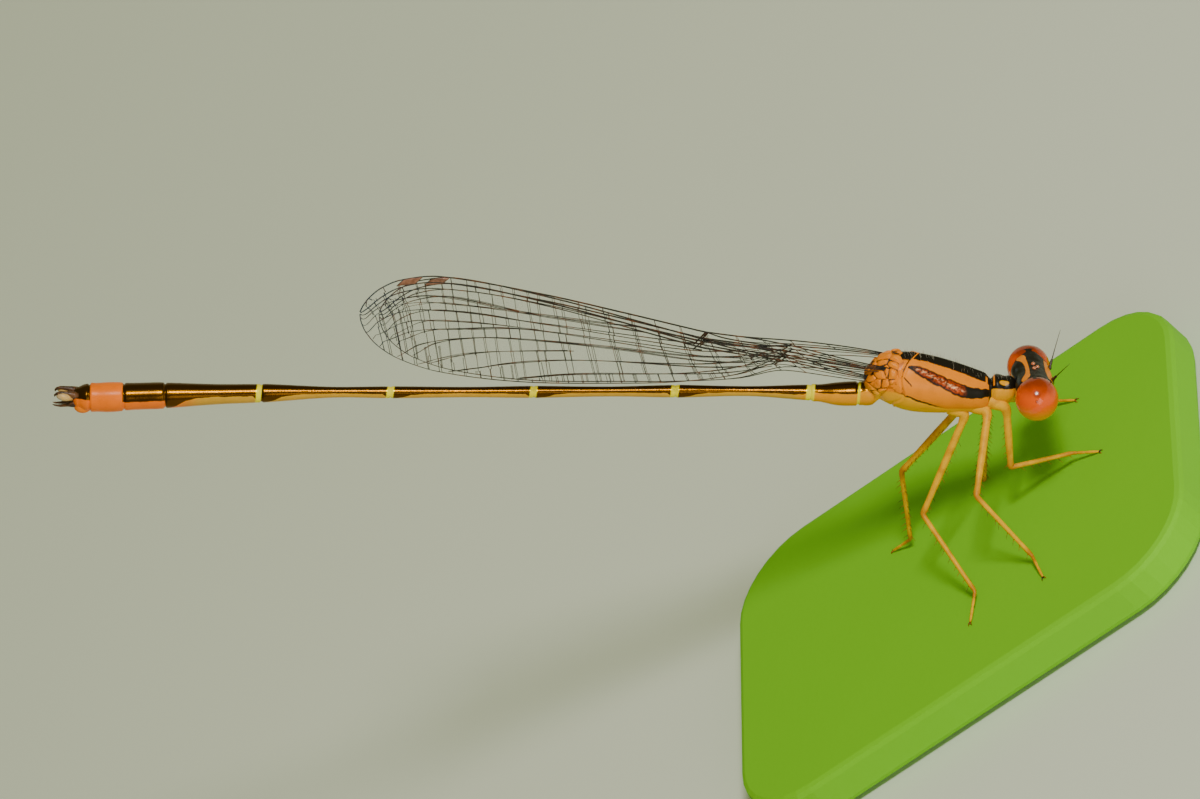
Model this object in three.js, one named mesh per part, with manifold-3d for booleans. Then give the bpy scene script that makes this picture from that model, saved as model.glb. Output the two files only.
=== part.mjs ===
// A male orange damselfly, life size, standing on a plain flat base with its wings closed over its back.
// Millimetres. The exported frame has +Z up and the head towards +X, and its origin is the centre of the
// base's underside. The insect is built level in a frame of its own (+X to the head, +Y to its left, +Z to
// its back, origin between the hind coxae) and is then pitched and rolled as it stood on its leaf.
import * as THREE from "three";
import { mergeVertices } from "three/addons/utils/BufferGeometryUtils.js";
import Module from "manifold-3d";

const wasm = await Module();
wasm.setup();

// Stance: the insect's tilt over the surface that it stands on, and the height of its origin above it.
const PITCH = THREE.MathUtils.degToRad(41.5); // head down, tail up
const ROLL = THREE.MathUtils.degToRad(-11.3); // left side down
const STANCE_HEIGHT = 4.78;
const GAP = 0.12; // between neighbouring pieces

// Base.
const BASE_LENGTH = 21;
const BASE_WIDTH = 15;
const BASE_THICK = 1.6;
const BASE_CORNER = 3;
const BASE_EDGE = 0.25; // bevel round the top and the bottom
const BASE_AHEAD = -4.6; // base centre, from the insect's origin
const BASE_LEFT = -0.9;

// Head.
const HEAD_AT = new THREE.Vector3(2.5, 0, 0.72);
const HEAD_YAW = THREE.MathUtils.degToRad(6); // turned a little to its left
const EYE_RADIUS = 0.79;
const EYE_APART = 2.5; // between the eyes' centres
const SKULL_HALF = 0.9; // half width of the bar that carries the eyes
const SKULL = [
  { x: -SKULL_HALF, z: 0, h: 0.74, w: 0.7 },
  { x: -0.78, z: 0, h: 0.76, w: 0.71 },
  { x: -0.4, z: 0, h: 0.68, w: 0.64 },
  { x: 0, z: 0, h: 0.63, w: 0.6 },
  { x: 0.4, z: 0, h: 0.68, w: 0.64 },
  { x: 0.78, z: 0, h: 0.76, w: 0.71 },
  { x: SKULL_HALF, z: 0, h: 0.74, w: 0.7 },
]; // stations across the head, with half height and half length
const EYE_SIDES = 26;
const OCELLUS_RADIUS = 0.11;
const ANTENNA_LENGTH = 1.5;
const ANTENNA = [[0, 0.24], [0.5, 0.24], [1, 0.07]]; // turned profile, as [share of the length, radius]

// Thorax: stations from rear to front with the height of the axis and the half height and half width.
const THORAX = [
  { x: -3.18, z: 0.74, h: 0.52, w: 0.48 },
  { x: -3.0, z: 0.84, h: 0.84, w: 0.68 },
  { x: -2.6, z: 0.95, h: 1.1, w: 0.88 },
  { x: -1.8, z: 0.82, h: 1.2, w: 0.97 },
  { x: -0.9, z: 0.69, h: 1.12, w: 0.9 },
  { x: 0, z: 0.535, h: 0.94, w: 0.76 },
  { x: 0.6, z: 0.41, h: 0.8, w: 0.62 },
  { x: 0.86, z: 0.36, h: 0.58, w: 0.46 },
];
const PRONOTUM = [
  { x: 0.98, z: 0.34, h: 0.5, w: 0.42 },
  { x: 1.1, z: 0.36, h: 0.64, w: 0.56 },
  { x: 1.32, z: 0.36, h: 0.58, w: 0.56 },
  { x: 1.56, z: 0.4, h: 0.56, w: 0.54 },
  { x: 1.74, z: 0.46, h: 0.4, w: 0.4 },
  { x: 1.94, z: 0.56, h: 0.22, w: 0.22 },
];

// Abdomen: each segment's length and its thickness at the front, in the middle and at the rear.
const ABDOMEN_FRONT = -3.3;
const ABDOMEN_LEVEL = 0.34;
const ABDOMEN_DROP = { from: -24, over: 8.5, by: 0.22 };
const SEGMENTS = [
  { length: 0.6, front: 0.88, middle: 0.96, rear: 0.94 },
  { length: 1.7, front: 0.96, middle: 0.92, rear: 0.7 },
  { length: 4.93, front: 0.62, middle: 0.46, rear: 0.52 },
  { length: 5.15, front: 0.5, middle: 0.45, rear: 0.5 },
  { length: 5.2, front: 0.5, middle: 0.45, rear: 0.5 },
  { length: 4.7, front: 0.5, middle: 0.48, rear: 0.68 },
  { length: 3.5, front: 0.7, middle: 0.76, rear: 0.94 },
  { length: 1.5, front: 0.98, middle: 1.0, rear: 1.05 },
  { length: 1.24, front: 1.1, middle: 1.15, rear: 1.13 },
  { length: 0.52, front: 1.04, middle: 1.0, rear: 0.84 },
];
const CERCUS_LENGTH = 0.72;
const CERCUS = [[0, 0.18], [0.5, 0.17], [0.85, 0.13], [1, 0.05]];
const PARAPROCT_LENGTH = 0.86;
const PARAPROCT = [[0, 0.15], [0.4, 0.15], [0.8, 0.09], [1, 0.04]];

// Wings: a root point by length along the body, half spread and height, the angle at which the wing rises to
// the rear, and its layer in the fold, counted outwards from the midline. Outline rows are [share of the
// length, height over the line from root to tip].
const FOREWING = { length: 19.1, x: -2.98, z: 1.77, rise: 5.55, root: 0.78, layer: 1 };
const HINDWING = { length: 18, x: -3.45, z: 1.2, rise: 8.3, root: 0.36, layer: 0 };
const LEADING = [
  [0, 0.16],
  [0.04, 0.3],
  [0.19, 0.6],
  [0.345, 0.66],
  [0.51, 1.12],
  [0.66, 1.5],
  [0.855, 1.8],
  [0.93, 1.49],
  [0.975, 0.96],
  [1, 0.2],
];
const TRAILING_FORE = [
  [0, -0.2],
  [0.16, -0.24],
  [0.27, -1.05],
  [0.38, -1.62],
  [0.49, -1.86],
  [0.68, -2.2],
  [0.835, -2.1],
  [0.915, -1.75],
  [0.965, -1.25],
  [1, -0.2],
];
const TRAILING_HIND = [
  [0, -0.2],
  [0.16, -0.22],
  [0.27, -0.9],
  [0.38, -1.3],
  [0.49, -1.6],
  [0.68, -2.08],
  [0.835, -2.05],
  [0.915, -1.75],
  [0.965, -1.25],
  [1, -0.2],
];
const WING_HUMP = new THREE.Vector3(0.5, 0.3, 0.34); // half sizes of the swelling that carries each wing
const MEMBRANE = 0.36;
const RIDGE = 0.05; // height of a vein over the membrane, on each face
const WING_GAP = 0.09; // between neighbouring wings in the fold
const TIP_THIN = 0.4; // share of its thickness that a wing loses towards the tip
const RIDGE_HALF = 0.11; // half width of a vein's foot
const NODUS = 0.36; // share of the length where the leading edge has its notch
const STIGMA = [0.865, 0.91]; // the dark cell near the tip
const SPAN_STEPS = 15;
// Veins from the leading edge to the trailing one: where each lies across the wing at its root side, and the
// shares of the length between which it swings back to meet the trailing edge.
const VEINS = [
  { at: 0.14, leaves: 0.9, meets: 1.3 },
  { at: 0.25, leaves: 0.82, meets: 1.2 },
  { at: 0.4, leaves: 0.66, meets: 1.06 },
  { at: 0.56, leaves: 0.52, meets: 0.98 },
  { at: 0.74, leaves: 0.38, meets: 0.86 },
];

// Legs: joints in the insect's frame. The tips lie on the surface, the ankles a little over it.
const LEGS = {
  hind_right: {
    coxa: [0.04, -0.36, -0.36],
    knee: [-1.5, -0.97, -4.21],
    ankle: [0.38, -2.95, -6.32],
    tip: [0.18, -3.95, -7.04],
  },
  mid_right: {
    coxa: [0.84, -0.36, -0.26],
    knee: [0.37, -2.89, -2.41],
    ankle: [2.4, -3.49, -4.53],
    tip: [2.76, -4.53, -4.84],
  },
  fore_right: {
    coxa: [1.5, -0.33, -0.1],
    knee: [1.7, -0.46, -2.53],
    ankle: [3.95, 0.17, -2.28],
    tip: [4.91, -0.17, -2.03],
  },
  hind_left: {
    coxa: [-0.04, 0.36, -0.36],
    knee: [-2.22, 1.6, -3.82],
    ankle: [-1.82, 2.48, -7.13],
    tip: [-2.44, 3.16, -7.98],
  },
  mid_left: {
    coxa: [0.84, 0.36, -0.26],
    knee: [0.65, 2.2, -2.81],
    ankle: [0.35, 3.3, -5.2],
    tip: [0.1, 4.3, -5.5],
  },
  fore_left: {
    coxa: [1.5, 0.33, -0.1],
    knee: [2.49, 2.28, -1.15],
    ankle: [3.35, 4.17, -2.26],
    tip: [4.18, 3.63, -1.93],
  },
};
const COXA_LENGTH = 0.5; // from the body to the femur, trochanter included
const COXA_RADIUS = 0.26;
const FEMUR_RADIUS = 0.26;
const TIBIA_RADIUS = 0.25;
const TARSUS_RADIUS = 0.23;
const COXA = [[0, COXA_RADIUS], [0.92, COXA_RADIUS * 0.92], [1, 0.2]];
const FEMUR = [[0, 0.2], [0.06, FEMUR_RADIUS], [0.5, FEMUR_RADIUS], [0.95, FEMUR_RADIUS * 0.94], [1, 0.18]];
const TIBIA = [[0, 0.18], [0.05, TIBIA_RADIUS], [0.9, TIBIA_RADIUS * 0.92], [1, 0.16]];
const TARSUS = [[0, 0.16], [0.1, TARSUS_RADIUS], [0.85, TARSUS_RADIUS * 0.8], [1, 0.1]];

const finish = (colour, roughness, metalness = 0) =>
  new THREE.MeshStandardMaterial({ color: colour, roughness, metalness });
const ORANGE = finish(0xf08a1a, 0.4);
const ORANGE_BRIGHT = finish(0xf26a1c, 0.4);
const BLACK = finish(0x1a120c, 0.3, 0.2);
const EYE = finish(0xe8541a, 0.12);
const AMBER = finish(0xc8821e, 0.35);
const WING = finish(0x8b8468, 0.25);
const HORN = finish(0x2a1d14, 0.4);
const STAND = finish(0xd9d6cf, 0.55);

const insect = new THREE.Group();
insect.name = "insect";
const part = new THREE.Group();
part.name = "damselfly_on_base";

// Insect frame to exported frame.
const tilt = new THREE.Euler(ROLL, PITCH, 0, "YXZ");
const stance = new THREE.Vector3(-BASE_AHEAD, -BASE_LEFT, STANCE_HEIGHT + BASE_THICK);
const stand = (point) => point.clone().applyEuler(tilt).add(stance);

// A geometry with one vertex at each place, as booleans need it.
function welded(geometry) {
  geometry.deleteAttribute("normal");
  geometry.deleteAttribute("uv");
  return mergeVertices(geometry, 1e-5);
}

function solid(geometry) {
  const merged = welded(geometry);
  const mesh = new wasm.Mesh({
    numProp: 3,
    vertProperties: new Float32Array(merged.attributes.position.array),
    triVerts: new Uint32Array(merged.index.array),
  });
  return new wasm.Manifold(mesh);
}

// The largest closed surface of a solid, as a geometry.
function geometryOf(manifold) {
  const bodies = manifold.decompose().sort((a, b) => b.volume() - a.volume());
  const mesh = bodies[0].getMesh();
  const geometry = new THREE.BufferGeometry();
  const places = new THREE.BufferAttribute(new Float32Array(mesh.vertProperties), 3);
  geometry.setAttribute("position", places);
  geometry.setIndex(new THREE.BufferAttribute(new Uint32Array(mesh.triVerts), 1));
  return geometry;
}

function add(group, name, shape, material) {
  const geometry = shape.isBufferGeometry ? shape : geometryOf(shape);
  const mesh = new THREE.Mesh(geometry, material);
  mesh.name = name;
  group.add(mesh);
  return mesh;
}

const mapped = (geometry, place) => {
  const positions = geometry.attributes.position;
  const point = new THREE.Vector3();
  for (let i = 0; i < positions.count; i++) {
    place(point.fromBufferAttribute(positions, i));
    positions.setXYZ(i, point.x, point.y, point.z);
  }
  return geometry;
};

// A smooth curve through a table of [place, value] rows, read at a place.
function along(table, place) {
  const last = table.length - 1;
  const i = Math.min(last - 1, Math.max(0, table.findIndex((row) => row[0] > place) - 1));
  const k = place >= table[last][0] ? last - 1 : i;
  const [[x0, y0], [x1, y1]] = [table[k], table[k + 1]];
  const slope = (a, b) => (table[b][1] - table[a][1]) / (table[b][0] - table[a][0]);
  const before = slope(Math.max(0, k - 1), k + 1);
  const after = slope(k, Math.min(last, k + 2));
  const t = THREE.MathUtils.clamp((place - x0) / (x1 - x0), 0, 1);
  const width = x1 - x0;
  const [t2, t3] = [t * t, t * t * t];
  const ends = (2 * t3 - 3 * t2 + 1) * y0 + (3 * t2 - 2 * t3) * y1;
  return ends + width * ((t3 - 2 * t2 + t) * before + (t3 - t2) * after);
}

// A closed body through stations along X; each ring is an oval, narrowed towards the back by `ridge`.
function hull(stations, { sides = 20, rings = 14, ridge = 0 } = {}) {
  const read = (key) => stations.map((s) => [s.x, s[key]]);
  const tables = { z: read("z"), h: read("h"), w: read("w") };
  const [rear, front] = [stations[0].x, stations[stations.length - 1].x];
  const geometry = welded(new THREE.CylinderGeometry(1, 1, 1, sides, rings));
  return mapped(geometry, (p) => {
    const x = THREE.MathUtils.lerp(rear, front, p.y + 0.5);
    const [up, side] = [p.x, p.z];
    const narrow = 1 - ridge * Math.max(0, up) ** 2;
    p.set(x, side * along(tables.w, x) * narrow, along(tables.z, x) + up * along(tables.h, x));
  });
}

function ball(radii, at, sides = 20) {
  const sphere = new THREE.SphereGeometry(1, sides, Math.round(sides * 0.6));
  return sphere.scale(radii.x, radii.y, radii.z).translate(at.x, at.y, at.z);
}

// A turned rod from a to b; profile rows are [share of the length, radius].
function rod(a, b, profile, sides = 8) {
  const run = new THREE.Vector3().subVectors(b, a);
  const length = run.length();
  const rows = profile.map(([share, radius]) => new THREE.Vector2(radius, share * length));
  const closed = [new THREE.Vector2(0, rows[0].y), ...rows, new THREE.Vector2(0, rows[rows.length - 1].y)];
  const turn = new THREE.Quaternion().setFromUnitVectors(new THREE.Vector3(0, 1, 0), run.normalize());
  return welded(new THREE.LatheGeometry(closed, sides)).applyQuaternion(turn).translate(a.x, a.y, a.z);
}

// Head capsule with its face, the swelling behind it and the three ocelli, in the head's own frame.
const FACE = [
  { radii: new THREE.Vector3(0.34, 0.72, 0.3), at: new THREE.Vector3(0.36, 0, 0.16) },
  { radii: new THREE.Vector3(0.3, 0.56, 0.26), at: new THREE.Vector3(0.42, 0, -0.22) },
  { radii: new THREE.Vector3(0.26, 0.46, 0.28), at: new THREE.Vector3(0.3, 0, -0.52) },
  { radii: new THREE.Vector3(0.3, 0.5, 0.34), at: new THREE.Vector3(-0.36, 0, -0.02) },
];
const OCELLI = [
  [0.2, 0, 0.59],
  [0, 0.22, 0.61],
  [0, -0.22, 0.61],
];
const [FRONS, , MOUTH] = FACE;

const grown = (radii) => radii.clone().addScalar(GAP);
const skullBar = (growth) =>
  hull(swollen(SKULL, growth), { sides: 24, rings: 12 }).rotateZ(Math.PI / 2);
const SIDES = [
  ["left", 1],
  ["right", -1],
];

function headSolids() {
  const head = new THREE.Group();
  head.position.copy(HEAD_AT);
  head.rotation.z = HEAD_YAW;
  insect.add(head);

  const face = FACE.map(({ radii, at }) => ball(radii, at, 16));
  const ocelli = OCELLI.map((at) => new THREE.SphereGeometry(OCELLUS_RADIUS, 8, 6).translate(...at));
  const bar = solid(skullBar(0));
  const skull = [...face, ...ocelli].reduce((whole, piece) => whole.add(solid(piece)), bar);
  const neck = prothorax(GAP).translate(-HEAD_AT.x, -HEAD_AT.y, -HEAD_AT.z).rotateZ(-HEAD_YAW);
  add(head, "head", skull.subtract(solid(neck)), BLACK);

  const between = solid(new THREE.BoxGeometry(4, 2 * (SKULL_HALF + GAP), 4));
  const eyeBall = new THREE.Vector3().setScalar(EYE_RADIUS);
  for (const [name, side] of SIDES) {
    const eye = solid(ball(eyeBall, new THREE.Vector3(0, (side * EYE_APART) / 2, 0), EYE_SIDES));
    add(head, `eye_${name}`, eye.subtract(between), EYE);
    const root = new THREE.Vector3(0.6, side * 0.42, 0.3);
    const reach = new THREE.Vector3(0.62, side * 0.5, 0.62).setLength(ANTENNA_LENGTH);
    const feeler = solid(rod(root, root.clone().add(reach), ANTENNA, 8));
    add(head, `antenna_${name}`, feeler.subtract(solid(ball(grown(FRONS.radii), FRONS.at))), HORN);
  }
  const jaws = solid(ball(new THREE.Vector3(0.36, 0.42, 0.26), new THREE.Vector3(0.06, 0, -0.78), 18));
  const mouth = solid(ball(grown(MOUTH.radii), MOUTH.at));
  add(head, "labium", jaws.subtract(solid(skullBar(GAP))).subtract(mouth), AMBER);
}

// Bodies of the thorax and the prothorax; growth swells them all round, for cutting what grows from them.
const swollen = (stations, growth) =>
  stations.map(({ x, z, h, w }, i) => {
    const ends = i === 0 ? -growth : i === stations.length - 1 ? growth : 0;
    return { x: x + ends, z, h: h + growth, w: w + growth };
  });

function thorax(growth = 0) {
  let body = solid(hull(swollen(THORAX, growth), { sides: 22, rings: 14, ridge: 0.3 }));
  for (const wing of [FOREWING, HINDWING])
    for (const [, side] of SIDES) {
      const low = wing.z - WING_HUMP.z / 2;
      const at = new THREE.Vector3(wing.x + WING_HUMP.x / 2, side * wing.root * 0.9, low);
      body = body.add(solid(ball(WING_HUMP.clone().addScalar(growth), at, 12)));
    }
  return body;
}

const prothorax = (growth = 0) => hull(swollen(PRONOTUM, growth), { sides: 18, rings: 10, ridge: 0.1 });

function thoraxSolids() {
  add(insect, "thorax", thorax(), ORANGE);
  add(insect, "prothorax", prothorax(), BLACK);
}

const abdomenLevel = (x) => {
  const t = THREE.MathUtils.smoothstep(-x, -ABDOMEN_DROP.from, ABDOMEN_DROP.over - ABDOMEN_DROP.from);
  return ABDOMEN_LEVEL - ABDOMEN_DROP.by * t;
};

function abdomenSolids() {
  let front = ABDOMEN_FRONT;
  SEGMENTS.forEach((segment, i) => {
    const rear = front - segment.length + GAP;
    const place = (share) => THREE.MathUtils.lerp(rear, front, share);
    const rows = [
      [0, segment.rear * 0.94],
      [0.04, segment.rear],
      [0.45, segment.middle],
      [0.96, segment.front],
      [1, segment.front * 0.94],
    ];
    const stations = rows.map(([share, wide]) => ({
      x: place(share),
      z: abdomenLevel(place(share)),
      h: wide / 2,
      w: wide / 2,
    }));
    const name = `abdomen_${String(i + 1).padStart(2, "0")}`;
    const ring = solid(hull(stations, { sides: 16, rings: 6 }));
    add(insect, name, i < 2 ? ring.subtract(thoraxRoom) : ring, i === 8 ? ORANGE_BRIGHT : BLACK);
    front -= segment.length;
  });
  const level = abdomenLevel(front);
  for (const [name, side] of SIDES) {
    const upper = new THREE.Vector3(front, side * 0.25, level + 0.16);
    const upperTip = new THREE.Vector3(front - CERCUS_LENGTH, side * 0.36, level + 0.32);
    add(insect, `cercus_${name}`, rod(upper, upperTip, CERCUS, 10), HORN);
    const lower = new THREE.Vector3(front, side * 0.2, level - 0.24);
    const lowerTip = new THREE.Vector3(front - PARAPROCT_LENGTH, side * 0.2, level - 0.34);
    add(insect, `paraproct_${name}`, rod(lower, lowerTip, PARAPROCT, 10), HORN);
  }
}

// A closed plate over a grid; point(i, j, face) gives a corner on the face at -1 or 1, split alike on both.
function plate(rows, columns, point) {
  const corners = [];
  for (const face of [-1, 1])
    for (let i = 0; i <= rows; i++)
      for (let j = 0; j <= columns; j++) corners.push(...point(i, j, face).toArray());
  const index = [];
  const at = (i, j, back) => back * (rows + 1) * (columns + 1) + i * (columns + 1) + j;
  const quad = (a, b, c, d) => index.push(a, b, c, a, c, d);
  for (let i = 0; i < rows; i++)
    for (let j = 0; j < columns; j++) {
      quad(at(i, j, 0), at(i + 1, j, 0), at(i + 1, j + 1, 0), at(i, j + 1, 0));
      index.push(at(i, j, 1), at(i + 1, j + 1, 1), at(i + 1, j, 1));
      index.push(at(i, j, 1), at(i, j + 1, 1), at(i + 1, j + 1, 1));
    }
  for (let i = 0; i < rows; i++) {
    quad(at(i, 0, 1), at(i + 1, 0, 1), at(i + 1, 0, 0), at(i, 0, 0));
    quad(at(i, columns, 0), at(i + 1, columns, 0), at(i + 1, columns, 1), at(i, columns, 1));
  }
  for (let j = 0; j < columns; j++) {
    quad(at(0, j, 0), at(0, j + 1, 0), at(0, j + 1, 1), at(0, j, 1));
    quad(at(rows, j, 1), at(rows, j + 1, 1), at(rows, j + 1, 0), at(rows, j, 0));
  }
  const geometry = new THREE.BufferGeometry();
  geometry.setAttribute("position", new THREE.BufferAttribute(new Float32Array(corners), 3));
  geometry.setIndex(index);
  return geometry;
}

// Where each vein lies across the wing, as shares of its width, at one share of its length.
function veinPlaces(share) {
  const places = [0];
  VEINS.forEach(({ at, leaves, meets }) => {
    const swing = THREE.MathUtils.smoothstep(share, leaves, meets);
    places.push(THREE.MathUtils.lerp(at, 1, swing));
  });
  places.push(1);
  const room = 0.05;
  for (let k = places.length - 2; k > 0; k--) places[k] = Math.min(places[k], places[k + 1] - room);
  return places;
}

// Shares of the length at which the wing has a row of corners, closer together towards the tip.
function spanShares() {
  const shares = [];
  for (let i = 0; i <= SPAN_STEPS; i++) {
    const t = i / SPAN_STEPS;
    const bunched = Math.sin((t * 0.86 + 0.14 * t * t) * (Math.PI / 2));
    shares.push(0.45 * bunched + 0.55 * t);
  }
  for (const place of [NODUS, ...STIGMA]) {
    const misses = shares.map((share) => Math.abs(share - place));
    shares[misses.indexOf(Math.min(...misses))] = place;
  }
  return shares;
}

const CORNERS_PER_VEIN = 3;

function wingPlate(wing, trailing, side) {
  const shares = spanShares();
  const veins = VEINS.length + 2;
  const columns = (veins - 1) * CORNERS_PER_VEIN;
  const tip = THREE.MathUtils.degToRad(wing.rise);
  const spanwise = new THREE.Vector3(-Math.cos(tip), 0, Math.sin(tip));
  const upward = new THREE.Vector3(Math.sin(tip), 0, Math.cos(tip));
  return plate(SPAN_STEPS, columns, (i, j, face) => {
    const share = shares[i];
    const top = along(LEADING, share);
    const width = top - along(trailing, share);
    const places = veinPlaces(share);
    const vein = Math.floor((j + 1) / CORNERS_PER_VEIN);
    const offset = ((j + 1) % CORNERS_PER_VEIN) - 1;
    const before = vein > 0 ? places[vein] - places[vein - 1] : 1;
    const after = vein < veins - 1 ? places[vein + 1] - places[vein] : 1;
    const foot = Math.min(RIDGE_HALF / width, Math.min(before, after) / 3);
    const across = places[vein] + offset * foot;
    const inStigma = share >= STIGMA[0] && share <= STIGMA[1] && across < places[1];
    const onNodus = share === NODUS && across < places[3];
    const raised = offset === 0 || inStigma || onNodus ? RIDGE : 0;
    const rootward = 1 - THREE.MathUtils.smoothstep(share, 0, 0.12);
    const thin = 1 - TIP_THIN * THREE.MathUtils.smoothstep(share, 0.62, 1);
    const half = (MEMBRANE / 2 + raised) * thin + 0.04 * rootward;
    const folded = THREE.MathUtils.smoothstep(share, 0, 0.24);
    const pitch = (MEMBRANE + 2 * RIDGE) * thin + WING_GAP;
    const lateral = THREE.MathUtils.lerp(wing.root, (wing.layer + 0.5) * pitch, folded);
    return new THREE.Vector3(wing.x, side * lateral + face * half, wing.z)
      .addScaledVector(spanwise, share * wing.length)
      .addScaledVector(upward, top - width * across);
  });
}

function wingSolids() {
  for (const [name, side] of SIDES) {
    const fore = solid(wingPlate(FOREWING, TRAILING_FORE, side));
    const hind = solid(wingPlate(HINDWING, TRAILING_HIND, side));
    add(insect, `forewing_${name}`, fore.subtract(thoraxRoom), WING);
    add(insect, `hindwing_${name}`, hind.subtract(thoraxRoom), WING);
  }
}

// A leg from the body out: coxa, femur, tibia and a tarsus whose sole is cut flat just over the base.
function legSolids() {
  const floor = solid(new THREE.BoxGeometry(60, 60, 10).translate(0, 0, BASE_THICK + GAP - 5));
  const room = thoraxRoom.add(solid(prothorax(GAP)));
  for (const [name, leg] of Object.entries(LEGS)) {
    const joints = [leg.coxa, leg.knee, leg.ankle, leg.tip];
    const [coxa, knee, ankle, tip] = joints.map((at) => new THREE.Vector3(...at));
    const onward = (from, to, by) => from.clone().addScaledVector(to.clone().sub(from).normalize(), by);
    const hip = onward(coxa, knee, COXA_LENGTH);
    const swell = new THREE.Vector3().setScalar(COXA_RADIUS);
    const upper = solid(ball(swell, coxa, 12)).add(solid(rod(coxa, hip, COXA, 10)));
    add(insect, `coxa_${name}`, upper.subtract(room), AMBER);

    const thigh = rod(onward(coxa, knee, COXA_LENGTH + GAP), onward(knee, coxa, GAP / 2), FEMUR, 10);
    add(insect, `femur_${name}`, thigh, AMBER);
    const shin = rod(onward(knee, ankle, FEMUR_RADIUS), onward(ankle, knee, GAP / 2), TIBIA, 8);
    add(insect, `tibia_${name}`, shin, AMBER);
    const [heel, toe] = [onward(ankle, tip, TIBIA_RADIUS * 0.6), tip].map(stand);
    add(part, `tarsus_${name}`, solid(rod(heel, toe, TARSUS, 8)).subtract(floor), AMBER);
  }
}

function baseSolid() {
  const [l, w, r] = [BASE_LENGTH / 2 - BASE_EDGE, BASE_WIDTH / 2 - BASE_EDGE, BASE_CORNER];
  const outline = new THREE.Shape();
  outline.moveTo(-l + r, -w);
  outline.lineTo(l - r, -w).absarc(l - r, -w + r, r, -Math.PI / 2, 0, false);
  outline.lineTo(l, w - r).absarc(l - r, w - r, r, 0, Math.PI / 2, false);
  outline.lineTo(-l + r, w).absarc(-l + r, w - r, r, Math.PI / 2, Math.PI, false);
  outline.lineTo(-l, -w + r).absarc(-l + r, -w + r, r, Math.PI, 1.5 * Math.PI, false);
  const block = new THREE.ExtrudeGeometry(outline, {
    depth: BASE_THICK - 2 * BASE_EDGE,
    bevelSize: BASE_EDGE,
    bevelThickness: BASE_EDGE,
    bevelSegments: 2,
    curveSegments: 4,
  });
  add(part, "stand_base", welded(block).translate(0, 0, BASE_EDGE), STAND);
}

const thoraxRoom = thorax(GAP);
headSolids();
thoraxSolids();
abdomenSolids();
wingSolids();
legSolids();
baseSolid();
insect.rotation.copy(tilt);
insect.position.copy(stance);
part.add(insect);

export default part;
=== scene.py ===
"""A male damselfly, orange and black, standing head down on a small display base with its wings closed.

Each piece is modelled level, in millimetres, in the insect's own frame: +X to the head, +Y to its left, +Z to
its back and the origin between the hind legs. It is then pitched and rolled into its stance over the base.
"""

import math
import random

import bpy
from mathutils import Euler, Matrix, Vector, noise


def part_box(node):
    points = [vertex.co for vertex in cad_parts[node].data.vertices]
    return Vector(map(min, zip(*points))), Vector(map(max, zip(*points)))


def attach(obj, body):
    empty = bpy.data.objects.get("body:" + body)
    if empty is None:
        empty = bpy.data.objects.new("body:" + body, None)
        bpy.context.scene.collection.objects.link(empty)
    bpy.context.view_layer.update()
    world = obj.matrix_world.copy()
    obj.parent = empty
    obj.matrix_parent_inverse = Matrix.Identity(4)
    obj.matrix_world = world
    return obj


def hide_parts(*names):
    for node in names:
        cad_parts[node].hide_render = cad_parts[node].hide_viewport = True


bl_info = {
    "name": "Damselfly on a base",
    "version": (1, 0, 0),
    "blender": (4, 5, 0),
    "location": "3D View > Sidebar > Damselfly",
    "description": "Models a male damselfly at rest with closed wings",
    "category": "Add Mesh",
}

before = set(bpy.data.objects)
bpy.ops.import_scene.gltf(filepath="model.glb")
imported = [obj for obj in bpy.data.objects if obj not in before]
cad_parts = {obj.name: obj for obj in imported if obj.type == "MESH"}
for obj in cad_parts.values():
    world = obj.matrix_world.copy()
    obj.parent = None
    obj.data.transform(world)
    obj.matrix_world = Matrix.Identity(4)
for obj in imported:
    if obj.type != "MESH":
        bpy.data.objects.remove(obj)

MM = 0.001
SIDES = (("left", 1), ("right", -1))

# Stance of the insect over its base.
PITCH = math.radians(41.5)
ROLL = math.radians(-11.3)
STANCE = Vector((4.6, 0.9, 6.38))
TURN = Euler((ROLL, PITCH, 0))
TO_ROW = Matrix.Translation(STANCE * MM) @ TURN.to_matrix().to_4x4() @ Matrix.Scale(MM, 4)
BASE_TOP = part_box("stand_base")[1].z / MM
UP = (TO_ROW.to_3x3().inverted() @ Vector((0, 0, 1))).normalized()

# Head: place and turn in the insect's frame, and its main sizes.
HEAD_AT = Vector((2.45, 0, 0.71))
HEAD_YAW = math.radians(5.2)
HEAD_TO_ROW = TO_ROW @ Matrix.Translation(HEAD_AT) @ Matrix.Rotation(HEAD_YAW, 4, "Z")
EYE_AT = 1.25
EYE_INNER = 0.9
SKULL_HALF = 1.24

# Body profile rows: place along the insect, height of the axis, half height, half width.
PRONOTUM = (
    (2.02, 0.6, 0.14, 0.14),
    (1.94, 0.58, 0.2, 0.2),
    (1.84, 0.53, 0.26, 0.26),
    (1.76, 0.5, 0.38, 0.38),
    (1.6, 0.48, 0.48, 0.47),
    (1.44, 0.47, 0.47, 0.48),
    (1.3, 0.49, 0.5, 0.5),
    (1.12, 0.5, 0.52, 0.5),
    (1.0, 0.48, 0.46, 0.42),
    (0.93, 0.43, 0.42, 0.38),
)
THORAX = (
    (0.86, 0.36, 0.56, 0.47),
    (0.74, 0.38, 0.69, 0.56),
    (0.6, 0.39, 0.76, 0.63),
    (0.3, 0.43, 0.84, 0.7),
    (0.0, 0.49, 0.9, 0.77),
    (-0.9, 0.64, 1.06, 0.9),
    (-1.8, 0.77, 1.14, 0.97),
    (-2.3, 0.84, 1.1, 0.95),
    (-2.7, 0.88, 0.98, 0.85),
    (-2.95, 0.83, 0.8, 0.72),
    (-3.12, 0.68, 0.58, 0.54),
    (-3.24, 0.42, 0.44, 0.44),
)
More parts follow.
